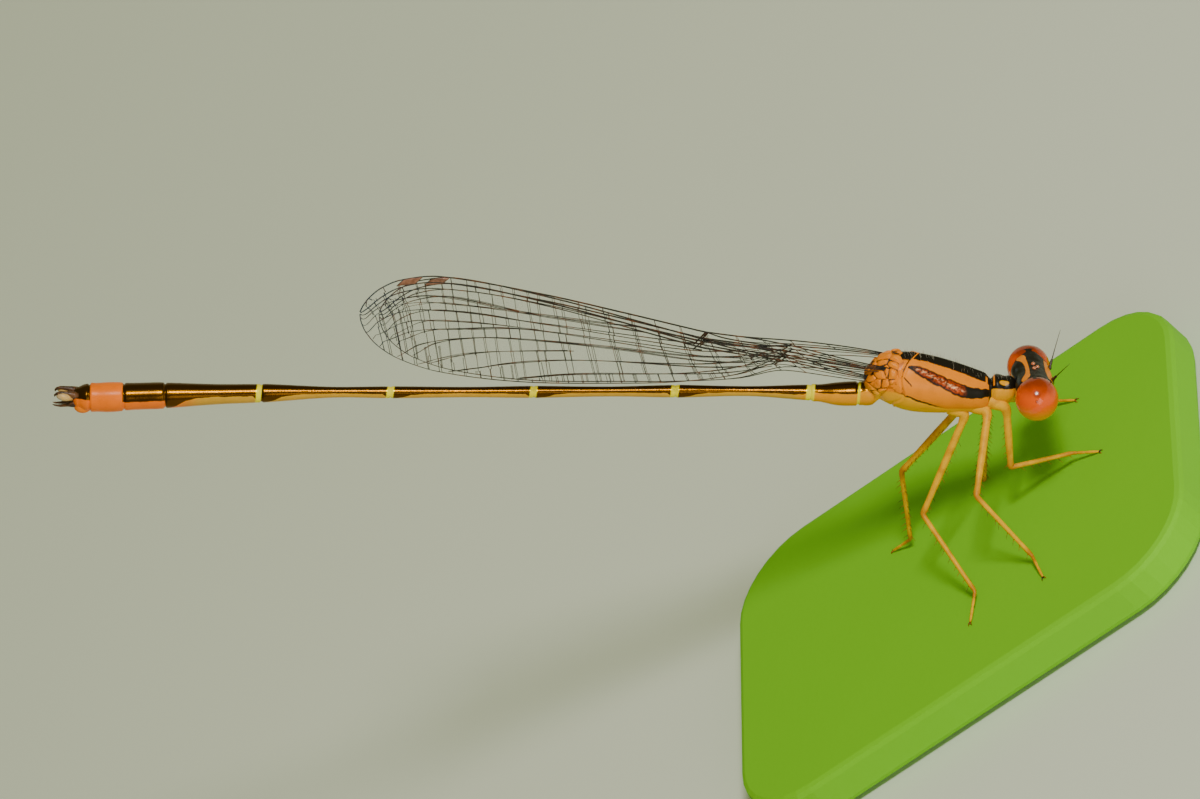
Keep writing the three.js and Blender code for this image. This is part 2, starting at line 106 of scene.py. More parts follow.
# The thorax is narrower towards its top, and this fades out at its two ends.
NARROWED = 0.3
THORAX_REAR = (-3.3, -3.0)
THORAX_FRONT = (0.8, 0.9)
# Spacing of the skin's rings on the thorax and on the abdomen.
RING_STEP = 0.035
TAIL_STEP = 0.14
# The abdomen's joints, and the girth of each segment at its front, middle and end.
JOINTS = (-3.3, -3.9, -5.6, -10.53, -15.68, -20.88, -25.58, -29.08, -30.58, -31.82, -32.34)
GIRTHS = (
    (0.86, 0.92, 0.88),
    (0.9, 0.84, 0.64),
    (0.58, 0.37, 0.47),
    (0.46, 0.37, 0.44),
    (0.44, 0.385, 0.44),
    (0.43, 0.4, 0.67),
    (0.67, 0.74, 0.92),
    (0.96, 0.98, 1.0),
    (1.04, 1.09, 1.06),
    (1.0, 0.94, 0.78),
)
# Height of the abdomen's axis along the insect: it sags a little at its root and towards its tip.
LEVELS = (
    (-3.3, 0.3), (-4.6, 0.26), (-5.6, 0.31), (-6.8, 0.36), (-10.5, 0.365), (-15.7, 0.335), (-21, 0.32),
    (-24, 0.32), (-25.6, 0.28), (-28.2, 0.215), (-29.8, 0.17), (-31.2, 0.12), (-32.6, 0.11),
)
JOINT_GROOVE = 0.9
ABDOMEN_FRONT = -3.28
# Pale rings: half width of each and how far its middle stands ahead of its joint.
RINGS = ((0.045, 0.07), (0.15, 0.01), (0.145, 0.01), (0.13, 0.02), (0.13, 0.02), (0.1, -0.055))

# Bronze of the abdomen's back ahead of a joint: distance ahead, degrees that it reaches down from the top.
FLARE = ((0.04, 150), (0.4, 124), (0.75, 92), (1.2, 80))

# Edges of the stripes on the thorax: place along the insect, degrees down from the top.
DORSAL_EDGE = ((-2.3, 18), (-2.0, 23), (-1.4, 25), (-0.8, 29), (-0.16, 33), (0.4, 39), (0.9, 43))
HUMERAL_TOP = ((-2.3, 44), (-2.07, 40), (-1.6, 39), (-1.04, 47), (-0.48, 55), (0.15, 62), (0.9, 61))
HUMERAL_LOW = (
    (-2.3, 42), (-2.1, 45), (-1.8, 53), (-1.41, 63), (-0.79, 75), (-0.22, 88), (0.2, 90), (0.9, 86),
)
# Crest that ends the front part of the thorax: degrees down from the top, place along the insect.
CREST = (
    (0, -1.72), (14, -1.86), (30, -2.02), (45, -2.16), (65, -2.3), (80, -2.27), (100, -2.2), (130, -2.6),
)
# Added to the crest's places in its finish, where a curve holds no value below 0.
CREST_LIFT = 3
# The crest itself and the crease behind it: height and depth, and places from the crest's line.
CREST_HEIGHT = 0.03
CREST_AHEAD = 0.01
CREASE_DEPTH = 0.035
CREASE_BEHIND = -0.07
# Keel along the top of the thorax, and grooves along its suture and its shoulder stripe.
KEEL_HEIGHT = 0.035
SUTURE_DEPTH = 0.022
STRIPE_DEPTH = 0.016
GROOVE_DEGREES = 2.4
SUTURE = ((-2.9, 88), (-2.67, 92), (-2.29, 96), (-1.85, 104), (-1.41, 111), (-0.98, 119), (-0.6, 126))

# Wings: rows of (share of the length, height over the line from root to tip).
LEADING = (
    (-0.035, 0.04), (0, 0.12), (0.04, 0.2), (0.19, 0.5), (0.345, 0.62), (0.36, 0.66), (0.51, 1.1),
    (0.66, 1.5), (0.855, 1.8), (0.93, 1.5), (0.965, 1.1), (0.985, 0.68), (0.996, 0.3), (1, 0.05),
)
TRAILING = {
    "forewing": (
        (-0.035, -0.04), (0, -0.08), (0.16, -0.12), (0.2, -0.25), (0.27, -0.95), (0.38, -1.5),
        (0.49, -1.8), (0.68, -2.15), (0.835, -2.08), (0.915, -1.72), (0.96, -1.25), (0.985, -0.75),
        (0.996, -0.35), (1, -0.05),
    ),
    "hindwing": (
        (-0.035, -0.04), (0, -0.08), (0.15, -0.12), (0.19, -0.22), (0.26, -0.75), (0.38, -1.2),
        (0.49, -1.5), (0.68, -1.95), (0.835, -1.95), (0.915, -1.65), (0.96, -1.22), (0.985, -0.75),
        (0.996, -0.35), (1, -0.05),
    ),
}
# Share of a wing's spread by which the left one sits lower than the middle and the right one higher.
WING_LEAN = 0.53
# Each wing: length, root, degrees of rise, half spread by share of the length, how far it sits under its
# root's height, and the shares between which the stigma lies.
WINGS = {
    "forewing": {
        "length": 19.1, "x": -2.98, "z": 1.52, "rise": 6.3,
        "spread": ((0, 0.56), (0.3, 0.52), (0.7, 0.48), (1, 0.3)), "lower": 0.06, "stigma": (0.896, 0.93),
    },
    "hindwing": {
        "length": 18.0, "x": -3.45, "z": 1.02, "rise": 8.25,
        "spread": ((0, 0.34), (0.3, 0.28), (0.7, 0.26), (1, 0.2)), "lower": 0.03, "stigma": (0.877, 0.912),
    },
}
# Depth of the pleats between long veins, and of the slow wave along a wing.
PLEAT = 0.03
FLUTTER = 0.03
# Shares of the length at which the strong cross veins stand.
NODUS = 0.345
ARCULUS = 0.186
# Long veins: thickness, and rows of (share of the length, share of the width from the leading edge).
VEINS = {
    "subcosta": (0.8, ((-0.035, 0.2), (0.1, 0.22), (0.19, 0.2), (0.3, 0.09), (0.345, 0.0))),
    "radius": (1.1, (
        (-0.035, 0.42), (0.1, 0.42), (0.186, 0.36), (0.26, 0.2), (0.345, 0.13), (0.5, 0.085), (0.7, 0.065),
        (0.86, 0.065), (0.93, 0.1), (0.97, 0.2), (0.999, 0.4),
    )),
    "sector_1": (0.9, (
        (0.186, 0.4), (0.26, 0.27), (0.345, 0.2), (0.5, 0.14), (0.7, 0.105), (0.85, 0.128), (0.93, 0.17),
        (0.97, 0.3), (0.9985, 0.6),
    )),
    "sector_2": (0.7, (
        (0.46, 0.15), (0.55, 0.2), (0.7, 0.235), (0.85, 0.21), (0.93, 0.26), (0.975, 0.42), (0.997, 0.8),
    )),
    "between_1": (0.5, ((0.7, 0.24), (0.812, 0.27), (0.93, 0.33), (0.97, 0.5), (0.993, 0.97))),
    "between_2": (0.7, (
        (0.345, 0.26), (0.5, 0.3), (0.7, 0.33), (0.775, 0.335), (0.85, 0.36), (0.923, 0.42), (0.965, 0.62),
        (0.983, 0.97),
    )),
    "between_3": (0.5, ((0.66, 0.4), (0.75, 0.42), (0.85, 0.47), (0.92, 0.56), (0.965, 0.85), (0.97, 0.96))),
    "sector_3": (0.65, (
        (0.24, 0.36), (0.345, 0.4), (0.5, 0.4), (0.7, 0.42), (0.8, 0.51), (0.9, 0.64), (0.948, 0.87),
        (0.955, 0.98),
    )),
    "media": (0.65, (
        (0.186, 0.5), (0.3, 0.52), (0.5, 0.5), (0.7, 0.535), (0.8, 0.61), (0.88, 0.76), (0.92, 0.98),
    )),
    "between_4": (0.5, ((0.6, 0.6), (0.7, 0.67), (0.78, 0.75), (0.84, 0.86), (0.88, 0.98))),
    "media_rear": (0.65, (
        (-0.035, 0.66), (0.1, 0.66), (0.19, 0.62), (0.3, 0.66), (0.45, 0.68), (0.6, 0.72), (0.7, 0.8),
        (0.8, 0.95), (0.82, 0.98),
    )),
    "cubitus": (0.6, ((0.2, 0.74), (0.3, 0.82), (0.45, 0.86), (0.6, 0.9), (0.7, 0.98))),
}
WING_START = -0.035
# Columns of cross veins: the first, their spacing, and how far each leans back across the whole width.
FIRST_COLUMN = 0.113
CROSS_SPACING = 0.0495
COLUMN_SLANT = 0.055
STIGMA_SLANT = 0.012
STIGMA_DEPTH = 0.07
STIGMA_THICKNESS = 0.045

# Collar of small plates round the wing roots: place, height of the axis, half height, half width. Its front
# edge runs along the insect by degrees down from the top.
COLLAR = (
    (-2.0, 0.81, 1.12, 0.95),
    (-2.4, 0.87, 1.11, 0.95),
    (-2.6, 0.9, 1.08, 0.92),
    (-2.85, 0.93, 0.98, 0.86),
    (-3.13, 0.95, 0.82, 0.76),
    (-3.35, 0.95, 0.66, 0.64),
    (-3.5, 0.94, 0.51, 0.51),
    (-3.6, 0.93, 0.38, 0.38),
    (-3.67, 0.92, 0.24, 0.24),
    (-3.7, 0.92, 0.01, 0.01),
)
COLLAR_FRONT = ((0, -2.12), (40, -2.26), (65, -2.36), (80, -2.6), (92, -2.85), (110, -3.05), (180, -3.2))
PLATE_SIZE = 0.36

# Legs: joints in the insect's frame, as coxa, knee, ankle and tip.
LEGS = {
    "hind_right": ((0.04, -0.36, -0.36), (-1.5, -0.97, -4.21), (0.38, -2.95, -6.32), (0.18, -3.95, -7.04)),
    "mid_right": ((0.84, -0.36, -0.26), (0.37, -2.89, -2.41), (2.4, -3.49, -4.53), (2.76, -4.53, -4.84)),
    "fore_right": ((1.5, -0.33, -0.1), (1.7, -0.46, -2.53), (3.95, 0.17, -2.28), (4.91, -0.17, -2.03)),
    "hind_left": ((-0.04, 0.36, -0.36), (-2.22, 1.6, -3.82), (-1.82, 2.48, -7.13), (-2.44, 3.16, -7.98)),
    "mid_left": ((0.86, 0.36, -0.26), (0.85, 2.2, -2.81), (0.9, 3.3, -5.2), (1.15, 4.3, -5.5)),
    "fore_left": ((1.5, 0.33, -0.1), (2.49, 2.28, -1.15), (3.35, 4.17, -2.26), (4.18, 3.63, -1.93)),
}
LEG_STEPS = 14
BRISTLE_SPACING = 0.34
HAIR_COUNT = 150

# Camera: in the insect's frame it looks across the body from its right and above.
VIEW_LIFT = math.radians(28)
VIEW_CENTRE = (-13.27, 0.02)
VIEW_WIDTH = 43.64
VIEW_BACK = 400.0
SENSOR = 36.0


def length(name, metres, description):
    """A size that a user can change."""
    return bpy.props.FloatProperty(
        name=name, description=description, default=metres, min=0.0, unit="LENGTH", subtype="DISTANCE"
    )


def colour(name, rgb, description):
    """A colour that a user can change."""
    return bpy.props.FloatVectorProperty(
        name=name, description=description, default=rgb, size=3, min=0.0, max=1.0, subtype="COLOR"
    )


class DamselflySizes(bpy.types.PropertyGroup):
    """Sizes that can be changed without moving any piece off its neighbour."""

    eye_radius: length("Eye radius", 0.0008, "Radius of each compound eye")
    ocellus_radius: length("Ocellus radius", 0.000078, "Radius of each simple eye on the crown")
    vein_radius: length("Vein radius", 0.000024, "Half thickness of a main wing vein")
    cross_vein_radius: length("Cross vein radius", 0.000012, "Half thickness of a cross vein")
    membrane: length("Membrane", 0.000012, "Thickness of the wing membrane")
    femur_radius: length("Femur radius", 0.000135, "Radius of the upper leg")
    tibia_radius: length("Tibia radius", 0.000092, "Radius of the lower leg")
    tarsus_radius: length("Tarsus radius", 0.000055, "Radius of the foot")
    bristle: length("Leg bristle", 0.00026, "Length of a bristle on the legs")
    hair: length("Body hair", 0.00024, "Length of the pale hairs on the thorax")


class DamselflyColours(bpy.types.PropertyGroup):
    """Colours of the cuticle, eyes, wings and base."""

    orange: colour("Orange", (0.98, 0.27, 0.0), "Stripes and sides of the thorax")
    yellow: colour("Yellow", (1.0, 0.42, 0.0), "Lower sides of the thorax")
    ring: colour("Ring", (1.0, 0.82, 0.0), "Narrow rings at the joints of the abdomen")
    tail: colour("Tail", (1.0, 0.19, 0.0), "Ninth segment of the abdomen")
    black: colour("Black", (0.012, 0.009, 0.006), "Dark markings")
    bronze: colour("Bronze", (0.13, 0.05, 0.0), "Dark back of the abdomen")
    copper: colour("Copper", (0.75, 0.085, 0.004), "Metallic sheen in the shoulder stripe")
    glint: colour("Glint", (1.0, 0.55, 0.3), "Bright flecks in the metallic sheen")
    plate_brown: colour("Plate brown", (0.55, 0.13, 0.01), "Darker plates round the wing roots")
    tan: colour("Tan", (0.7, 0.36, 0.03), "Underside of the abdomen")
    belly: colour("Belly", (0.85, 0.32, 0.0), "Underside of the first two segments")
    eye_red: colour("Eye", (0.95, 0.1, 0.0), "Middle of the eyes")
    eye_cap: colour("Eye cap", (0.3, 0.03, 0.003), "Top of the eyes")
    eye_low: colour("Eye underside", (0.95, 0.34, 0.0), "Bottom of the eyes")
    leg: colour("Leg", (0.95, 0.46, 0.0), "Legs")
    leg_brown: colour("Leg shade", (0.42, 0.1, 0.008), "Outer faces and joints of the legs")
    horn: colour("Horn", (0.045, 0.022, 0.014), "Feelers, claspers and claws")
    vein: colour("Vein", (0.012, 0.01, 0.007), "Wing veins")
    stigma: colour("Stigma", (0.2, 0.07, 0.035), "Dark cell near each wing tip")
    base: colour("Base", (0.21, 0.62, 0.01), "Display base")


def sizes():
    return bpy.context.scene.damselfly_sizes


def colours():
    return bpy.context.scene.damselfly_colours


# Curves through tables.
def along(table, place):
    """A smooth curve through rows of (place, value), read at a place; the places may rise or fall."""
    rows = table if table[0][0] < table[-1][0] else tuple(reversed(table))
    place = min(max(place, rows[0][0]), rows[-1][0])
    last = len(rows) - 1
    k = next((i for i in range(last) if place <= rows[i + 1][0]), last - 1)

    def slope(a, b):
        return (rows[b][1] - rows[a][1]) / (rows[b][0] - rows[a][0])

    width = rows[k + 1][0] - rows[k][0]
    before = slope(max(0, k - 1), k + 1)
    after = slope(k, min(last, k + 2))
    t = (place - rows[k][0]) / width
    ends = (2 * t**3 - 3 * t**2 + 1) * rows[k][1] + (3 * t**2 - 2 * t**3) * rows[k + 1][1]
    return ends + width * ((t**3 - 2 * t**2 + t) * before + (t**3 - t**2) * after)


def smooth_step(value, low, high):
    """0 below low, 1 above high and smooth between."""
    t = min(max((value - low) / (high - low), 0.0), 1.0)
    return t * t * (3 - 2 * t)


def bump(value, centre, width):
    """A bell curve, 1 at the centre."""
    return math.exp(-(((value - centre) / width) ** 2))


# Modelling helpers.
def only(piece):
    """Make a piece the one selected and active object."""
    bpy.ops.object.select_all(action="DESELECT")
    piece.select_set(True)
    bpy.context.view_layer.objects.active = piece


def tidy(piece, weld=1e-4):
    """Merge doubled corners, face everything outwards and shade it smooth."""
    only(piece)
    bpy.ops.object.mode_set(mode="EDIT")
    bpy.ops.mesh.select_all(action="SELECT")
    bpy.ops.mesh.remove_doubles(threshold=weld)
    bpy.ops.mesh.select_all(action="SELECT")
    bpy.ops.mesh.normals_make_consistent(inside=False)
    bpy.ops.object.mode_set(mode="OBJECT")
    bpy.ops.object.shade_smooth()


def shaped_grid(name, rows, columns, place):
    """A grid whose corners are moved to place(u, v), for a share along it and a share across or round it."""
    bpy.ops.object.select_all(action="DESELECT")
    bpy.ops.mesh.primitive_grid_add(x_subdivisions=rows, y_subdivisions=columns, size=1, calc_uvs=True)
    piece = bpy.context.object
    piece.name = name
    for corner in piece.data.vertices:
        corner.co = place(corner.co.x + 0.5, corner.co.y + 0.5)
    tidy(piece)
    return piece


def ball(radius, centre, segments, rings, stretch=(1, 1, 1), rotation=(0, 0, 0)):
    """A sphere, stretched about its centre."""
    bpy.ops.object.select_all(action="DESELECT")
    bpy.ops.mesh.primitive_uv_sphere_add(
        segments=segments, ring_count=rings, radius=radius, location=centre, rotation=rotation
    )
    bpy.ops.transform.resize(value=stretch)
    bpy.ops.object.transform_apply(location=True, rotation=True, scale=True)
    return bpy.context.object


def thickened(piece, thickness, offset=-1):
    """Give a sheet a thickness, inwards unless the offset says otherwise."""
    solid = piece.modifiers.new("Thickness", "SOLIDIFY")
    solid.thickness = thickness
    solid.offset = offset
    only(piece)
    bpy.ops.object.modifier_apply(modifier=solid.name)
    return piece


def mark(piece, name, value_at):
    """Store a value for each corner of a piece, for its finish to read."""
    values = piece.data.attributes.new(name, "FLOAT", "POINT").data
    for value, corner in zip(values, piece.data.vertices):
        value.value = value_at(corner.co)


def strands(name, paths, roundness=0):
    """Solid strands along paths, each a list of (point, radius), as bevelled curves made a mesh."""
    bpy.ops.object.select_all(action="DESELECT")
    bpy.ops.curve.primitive_bezier_curve_add()
    piece = bpy.context.object
    piece.name = name
    curve = piece.data
    curve.splines.clear()
    curve.dimensions = "3D"
    curve.bevel_depth = 1.0
    curve.bevel_resolution = roundness
    curve.use_fill_caps = True
    for path in paths:
        spline = curve.splines.new("POLY")
        spline.points.add(len(path) - 1)
        for point, (place, radius) in zip(spline.points, path):
            point.co = (*place, 1.0)
            point.radius = radius
    bpy.ops.object.convert(target="MESH")
    piece = bpy.context.object
    tidy(piece, 1e-6)
    return piece


def joined(name, pieces):
    """One smooth object out of several."""
    bpy.ops.object.select_all(action="DESELECT")
    for piece in pieces:
        piece.select_set(True)
    bpy.context.view_layer.objects.active = pieces[0]
    bpy.ops.object.join()
    bpy.ops.object.shade_smooth()
    whole = bpy.context.object
    whole.name = name
    return whole


def settle(piece, material, nodes=(), stance=TO_ROW):
    """Bring a finished piece to its stance, give it its material, hang it under the root and hide the parts
    that it stands for.
    """
    only(piece)
    piece.matrix_world = stance
    bpy.ops.object.transform_apply(location=True, rotation=True, scale=True)
    piece.data.materials.clear()
    piece.data.materials.append(material)
    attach(piece, "root")
    if nodes:
        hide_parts(*nodes)


# Finishes.
class Graph:
    """Nodes written as short calls that take numbers, colours and sockets alike."""

    def __init__(self, tree, at=None):
        self.tree = tree
        self.at = at

    def feed(self, socket, value):
        """Link a socket to another one, or set its value."""
        if isinstance(value, bpy.types.NodeSocket):
            self.tree.links.new(value, socket)
        elif isinstance(value, (int, float)) or len(value) == len(socket.default_value):
            socket.default_value = value
        else:
            socket.default_value = (*value, 1.0)

    def add(self, kind, *inputs, **settings):
        """A shader node with its settings, and its inputs given as (key, value)."""
        node = self.tree.nodes.new("ShaderNode" + kind)
        for key, value in settings.items():
            setattr(node, key, value)
        for key, value in inputs:
            self.feed(node.inputs[key], value)
        return node

    def math(self, operation, *values):
        return self.add("Math", *enumerate(values), operation=operation).outputs[0]

    def times(self, value, *others):
        for other in others:
            value = self.math("MULTIPLY", value, other)
        return value

    def either(self, a, b):
        return self.math("MAXIMUM", a, b)

    def plus(self, a, b):
        return self.math("ADD", a, b)

    def less(self, a, b):
        return self.math("SUBTRACT", a, b)

    def inverse(self, value):
        return self.less(1.0, value)

    def rise(self, value, low, high):
        """0 below low, 1 above high and smooth between."""
        given = (("Value", value), ("From Min", low), ("From Max", high))
        return self.add("MapRange", *given, interpolation_type="SMOOTHSTEP").outputs["Result"]

    def above(self, value, edge, soft):
        """A mask that is 1 where value is over edge, with a soft step."""
        return self.rise(self.less(value, edge), -soft, soft)

    def below(self, value, edge, soft):
        return self.inverse(self.above(value, edge, soft))

    def between(self, value, low, high, soft, soft_high=None):
        """A mask that is 1 between two edges."""
        return self.times(self.above(value, low, soft), self.below(value, high, soft_high or soft))

    def near(self, value, centre, half, soft):
        """A mask that is 1 within a half width of a centre."""
        return self.below(self.math("ABSOLUTE", self.less(value, centre)), half, soft)

    def blend(self, factor, a, b):
        node = self.add("Mix", (0, factor), (6, a), (7, b), data_type="RGBA")
        return node.outputs[2]

    def layers(self, tone, *covers):
        """A colour with others laid over it in turn, each given as (mask, colour)."""
        for mask, cover in covers:
            tone = self.blend(mask, tone, cover)
        return tone

    def vector(self, operation, a, b):
        return self.add("VectorMath", (0, a), (1, b), operation=operation).outputs[0]

    def edge(self, value, rows):
        """A smooth edge line: the second numbers of rows, read where value equals the first."""
        low, high = rows[0][0], rows[-1][0]
        top = max(row[1] for row in rows)
        share = self.add("MapRange", ("Value", value), ("From Min", low), ("From Max", high)).outputs[0]
        node = self.add("FloatCurve", ("Value", share))
        curve = node.mapping.curves[0]
        while len(curve.points) < len(rows):
            curve.points.new(0.5, 0.5)
        for point, (place, height) in zip(curve.points, rows):
            point.location = ((place - low) / (high - low), height / top)
        node.mapping.update()
        return self.times(node.outputs[0], top)

    def noise(self, scale, detail=3.0, at=None):
        given = (("Vector", at or self.at), ("Scale", scale), ("Detail", detail))
        return self.add("TexNoise", *given).outputs["Fac"]

    def sway(self, scale, amount):
        """Noise that swings about zero."""
        return self.times(self.less(self.noise(scale, 2.0), 0.5), amount)

    def grainy(self, start, scale, amount):
        """A value with some noise on top, for an uneven gloss."""
        return self.plus(start, self.times(self.noise(scale), amount))

    def relief(self, height, strength, depth):
        """A normal for a surface with bumps, their depth in millimetres."""
        bumps = self.add("Bump", ("Strength", strength), ("Distance", depth * MM), ("Height", height))
        return bumps.outputs[0]

    def place(self, stance):
        """Object coordinates turned back into the frame that the piece was modelled in."""
        back = self.add("Mapping", vector_type="TEXTURE")
        back.inputs["Location"].default_value = stance.to_translation()
        back.inputs["Rotation"].default_value = stance.to_euler()
        back.inputs["Scale"].default_value = stance.to_scale()
        self.feed(back.inputs["Vector"], self.add("TexCoord").outputs["Object"])
        return back.outputs[0]

    def axes(self):
        return self.add("SeparateXYZ", ("Vector", self.at)).outputs[:3]

    def oval(self, centre, radii, inner, outer):
        """An oval mask on both sides, fading from inner to outer in units of its half sizes."""
        x, y, z = self.axes()
        mirrored = self.add("CombineXYZ", (0, x), (1, self.math("ABSOLUTE", y)), (2, z)).outputs[0]
        scaled = self.vector("DIVIDE", self.vector("SUBTRACT", mirrored, centre), radii)
        distance = self.add("VectorMath", (0, scaled), operation="LENGTH").outputs["Value"]
        return self.inverse(self.rise(distance, inner, outer))

    def attribute(self, name):
        return self.add("Attribute", attribute_name=name).outputs["Fac"]


class Finish(Graph):
    """The material of a piece that was modelled in the frame of a stance."""

    def __init__(self, name, stance=TO_ROW, **constants):
        self.material = bpy.data.materials.new(name)
        self.material.use_nodes = True
        super().__init__(self.material.node_tree)
        self.shader = self.tree.nodes["Principled BSDF"]
        for socket, value in constants.items():
            self.shader.inputs[socket.replace("_", " ")].default_value = value
        self.at = self.place(stance)

    def base(self, tone, roughness=None, normal=None, metallic=None, alpha=None):
        """Plug what is given into the shader and hand back the material."""
        given = (
            ("Base Color", tone),
            ("Roughness", roughness),
            ("Normal", normal),
            ("Metallic", metallic),
            ("Alpha", alpha),
        )
        for socket, value in given:
            if value is not None:
                self.feed(self.shader.inputs[socket], value)
        return self.material

    def cuticle(self, tone, gloss, relief, metallic=None):
        """Put the fine surface of cuticle over a pattern and plug everything into the shader."""
        fine = self.add("Group", node_tree=cuticle_group())
        for name, value in (("Place", self.at), ("Colour", tone), ("Gloss", gloss), ("Relief", relief)):
            self.feed(fine.inputs[name], value)
        return self.base(*[fine.outputs[name] for name in ("Colour", "Roughness", "Normal")], metallic)


def cuticle_group():
    """Node group for the fine surface of insect cuticle: mottling, pits and uneven gloss."""
    tree = bpy.data.node_groups.get("Cuticle")
    if tree:
        return tree
    tree = bpy.data.node_groups.new("Cuticle", "ShaderNodeTree")
    sockets = (
        ("Place", "INPUT", "NodeSocketVector"),
        ("Colour", "INPUT", "NodeSocketColor"),
        ("Gloss", "INPUT", "NodeSocketFloat"),
        ("Relief", "INPUT", "NodeSocketFloat"),
        ("Colour", "OUTPUT", "NodeSocketColor"),
        ("Roughness", "OUTPUT", "NodeSocketFloat"),
        ("Normal", "OUTPUT", "NodeSocketVector"),
    )
    for name, way, kind in sockets:
        tree.interface.new_socket(name=name, in_out=way, socket_type=kind)
    given = tree.nodes.new("NodeGroupInput").outputs
    result = tree.nodes.new("NodeGroupOutput").inputs
    graph = Graph(tree, given["Place"])
    broad = graph.noise(2.2, 4.0)
    fine = graph.noise(26.0)
    pits = graph.add("TexVoronoi", ("Vector", graph.at), ("Scale", 22.0)).outputs["Distance"]
    tone = graph.plus(graph.times(broad, 0.35), graph.times(fine, 0.22))
    shade = graph.add("HueSaturation", ("Color", given["Colour"]), ("Value", graph.plus(tone, 0.72)))
    graph.feed(result["Colour"], shade.outputs[0])
    graph.feed(result["Roughness"], graph.plus(given["Gloss"], graph.times(fine, 0.16)))
    height = graph.plus(graph.times(pits, 0.5), fine)
    graph.feed(result["Normal"], graph.relief(height, given["Relief"], 0.02))
    return tree


def body_finish():
    """Thorax stripes, copper sheen and the rings and shading of the abdomen."""
    finish = Finish("Striped cuticle", Specular_IOR_Level=0.2)
    x = finish.axes()[0]
    around = finish.plus(finish.attribute("around"), finish.sway(5.0, 7.0))
    thorax, sheen = thorax_colour(finish, x, around)
    front = neck_colour(finish, x, around, thorax)
    tail, bronze = abdomen_colour(finish, x, around)
    on_tail = finish.below(x, ABDOMEN_FRONT, 0.02)
    bronze = finish.times(bronze, on_tail)
    metallic = finish.either(finish.times(sheen, 0.6), bronze)
    gloss = finish.less(0.24, finish.times(bronze, 0.1))
    return finish.cuticle(finish.blend(on_tail, front, tail), gloss, 0.1, metallic)


def thorax_colour(finish, x, around):
    """Colour of the thorax, and a mask of its copper sheen."""
    tint = colours()
    suture = finish.edge(x, SUTURE)
    stripe_top = finish.edge(x, HUMERAL_TOP)
    stripe_low = finish.edge(x, HUMERAL_LOW)
    crest = finish.edge(around, [(down, CREST_LIFT + ahead) for down, ahead in CREST])
    from_crest = finish.plus(finish.less(x, crest), CREST_LIFT)
    on_front = finish.above(from_crest, 0.03, 0.015)
    dorsal = finish.below(around, finish.edge(x, DORSAL_EDGE), 1.6)
    humeral = finish.between(around, stripe_top, stripe_low, 1.5)
    line = finish.times(
        finish.between(around, finish.less(suture, 2.6), finish.plus(suture, 1.6), 1.2),
        finish.between(x, -2.85, -1.0, 0.05, 0.25),
    )

    inner_top = finish.plus(stripe_top, 3.5)
    inner_low = finish.less(stripe_low, 5.5)
    sheen = finish.times(
        finish.between(around, inner_top, inner_low, 3.0, 4.0),
        finish.between(x, -1.85, -0.1, 0.12, 0.2),
        finish.rise(finish.noise(9.0), 0.3, 0.6),
    )
    halfway = finish.times(finish.plus(inner_top, inner_low), 0.5)
    drawn_out = finish.vector("MULTIPLY", finish.at, (0.3, 1.0, 1.0))
    flecks = finish.rise(finish.noise(20.0, at=drawn_out), 0.42, 0.6)
    glint = finish.times(sheen, finish.near(around, halfway, 3.5, 2.5), flecks)

    patches = finish.rise(finish.noise(5.0, 2.0), 0.5, 0.62)
    behind = finish.blend(finish.times(patches, 0.7), tint.orange, tint.leg_brown)
    behind = finish.blend(finish.below(around, 26.0, 3.0), behind, tint.black)
    high = finish.below(around, 96.0, 4.0)
    crease = finish.times(
        finish.near(from_crest, CREASE_BEHIND, 0.022, 0.015), finish.below(around, 60.0, 6.0)
    )
    slope = finish.plus(finish.times(finish.plus(x, 2.42), 46.0), 56.0)
    fold = finish.times(finish.near(around, slope, 1.5, 1.0), finish.between(x, -2.42, -1.97, 0.03))
    ridge = finish.near(from_crest, CREST_AHEAD, 0.03, 0.01)

    tone = finish.layers(
        finish.blend(finish.above(around, suture, 1.5), tint.orange, tint.yellow),
        (finish.either(finish.times(finish.either(dorsal, humeral), on_front), line), tint.black),
        (finish.times(sheen, 0.9), tint.copper),
        (glint, tint.glint),
        (finish.times(finish.inverse(on_front), high), behind),
        (finish.either(crease, fold), tint.black),
        (finish.times(ridge, high), tint.orange),
    )
    return tone, sheen


def neck_colour(finish, x, around, thorax):
    """Black neck shield with a yellow spot and lower part, and painted shade in the gap behind it, over the
    thorax's own colour.
    """
    tint = colours()
    pale_spot = finish.oval((1.4, 0.29, 0.86), (0.19, 0.1, 0.12), 0.75, 1.1)
    neck = finish.layers(
        tint.black,
        (finish.either(finish.above(around, 66.0, 2.5), pale_spot), tint.yellow),
        (finish.times(finish.near(x, 1.04, 0.028, 0.01), finish.below(around, 52.0, 2.0)), tint.orange),
    )
    # Painted shade: a black band where the neck meets the thorax, standing in for the shadow in the gap.
    painted_gap_shade = finish.times(finish.near(x, 0.9, 0.05, 0.02), finish.below(around, 112.0, 3.0))
    hook = finish.times(finish.near(x, 0.77, 0.035, 0.01), finish.between(around, 16.0, 62.0, 2.0))
    on_neck = finish.above(x, 0.88, 0.02)
    return finish.layers(thorax, (on_neck, neck), (painted_gap_shade, tint.black), (hook, tint.orange))


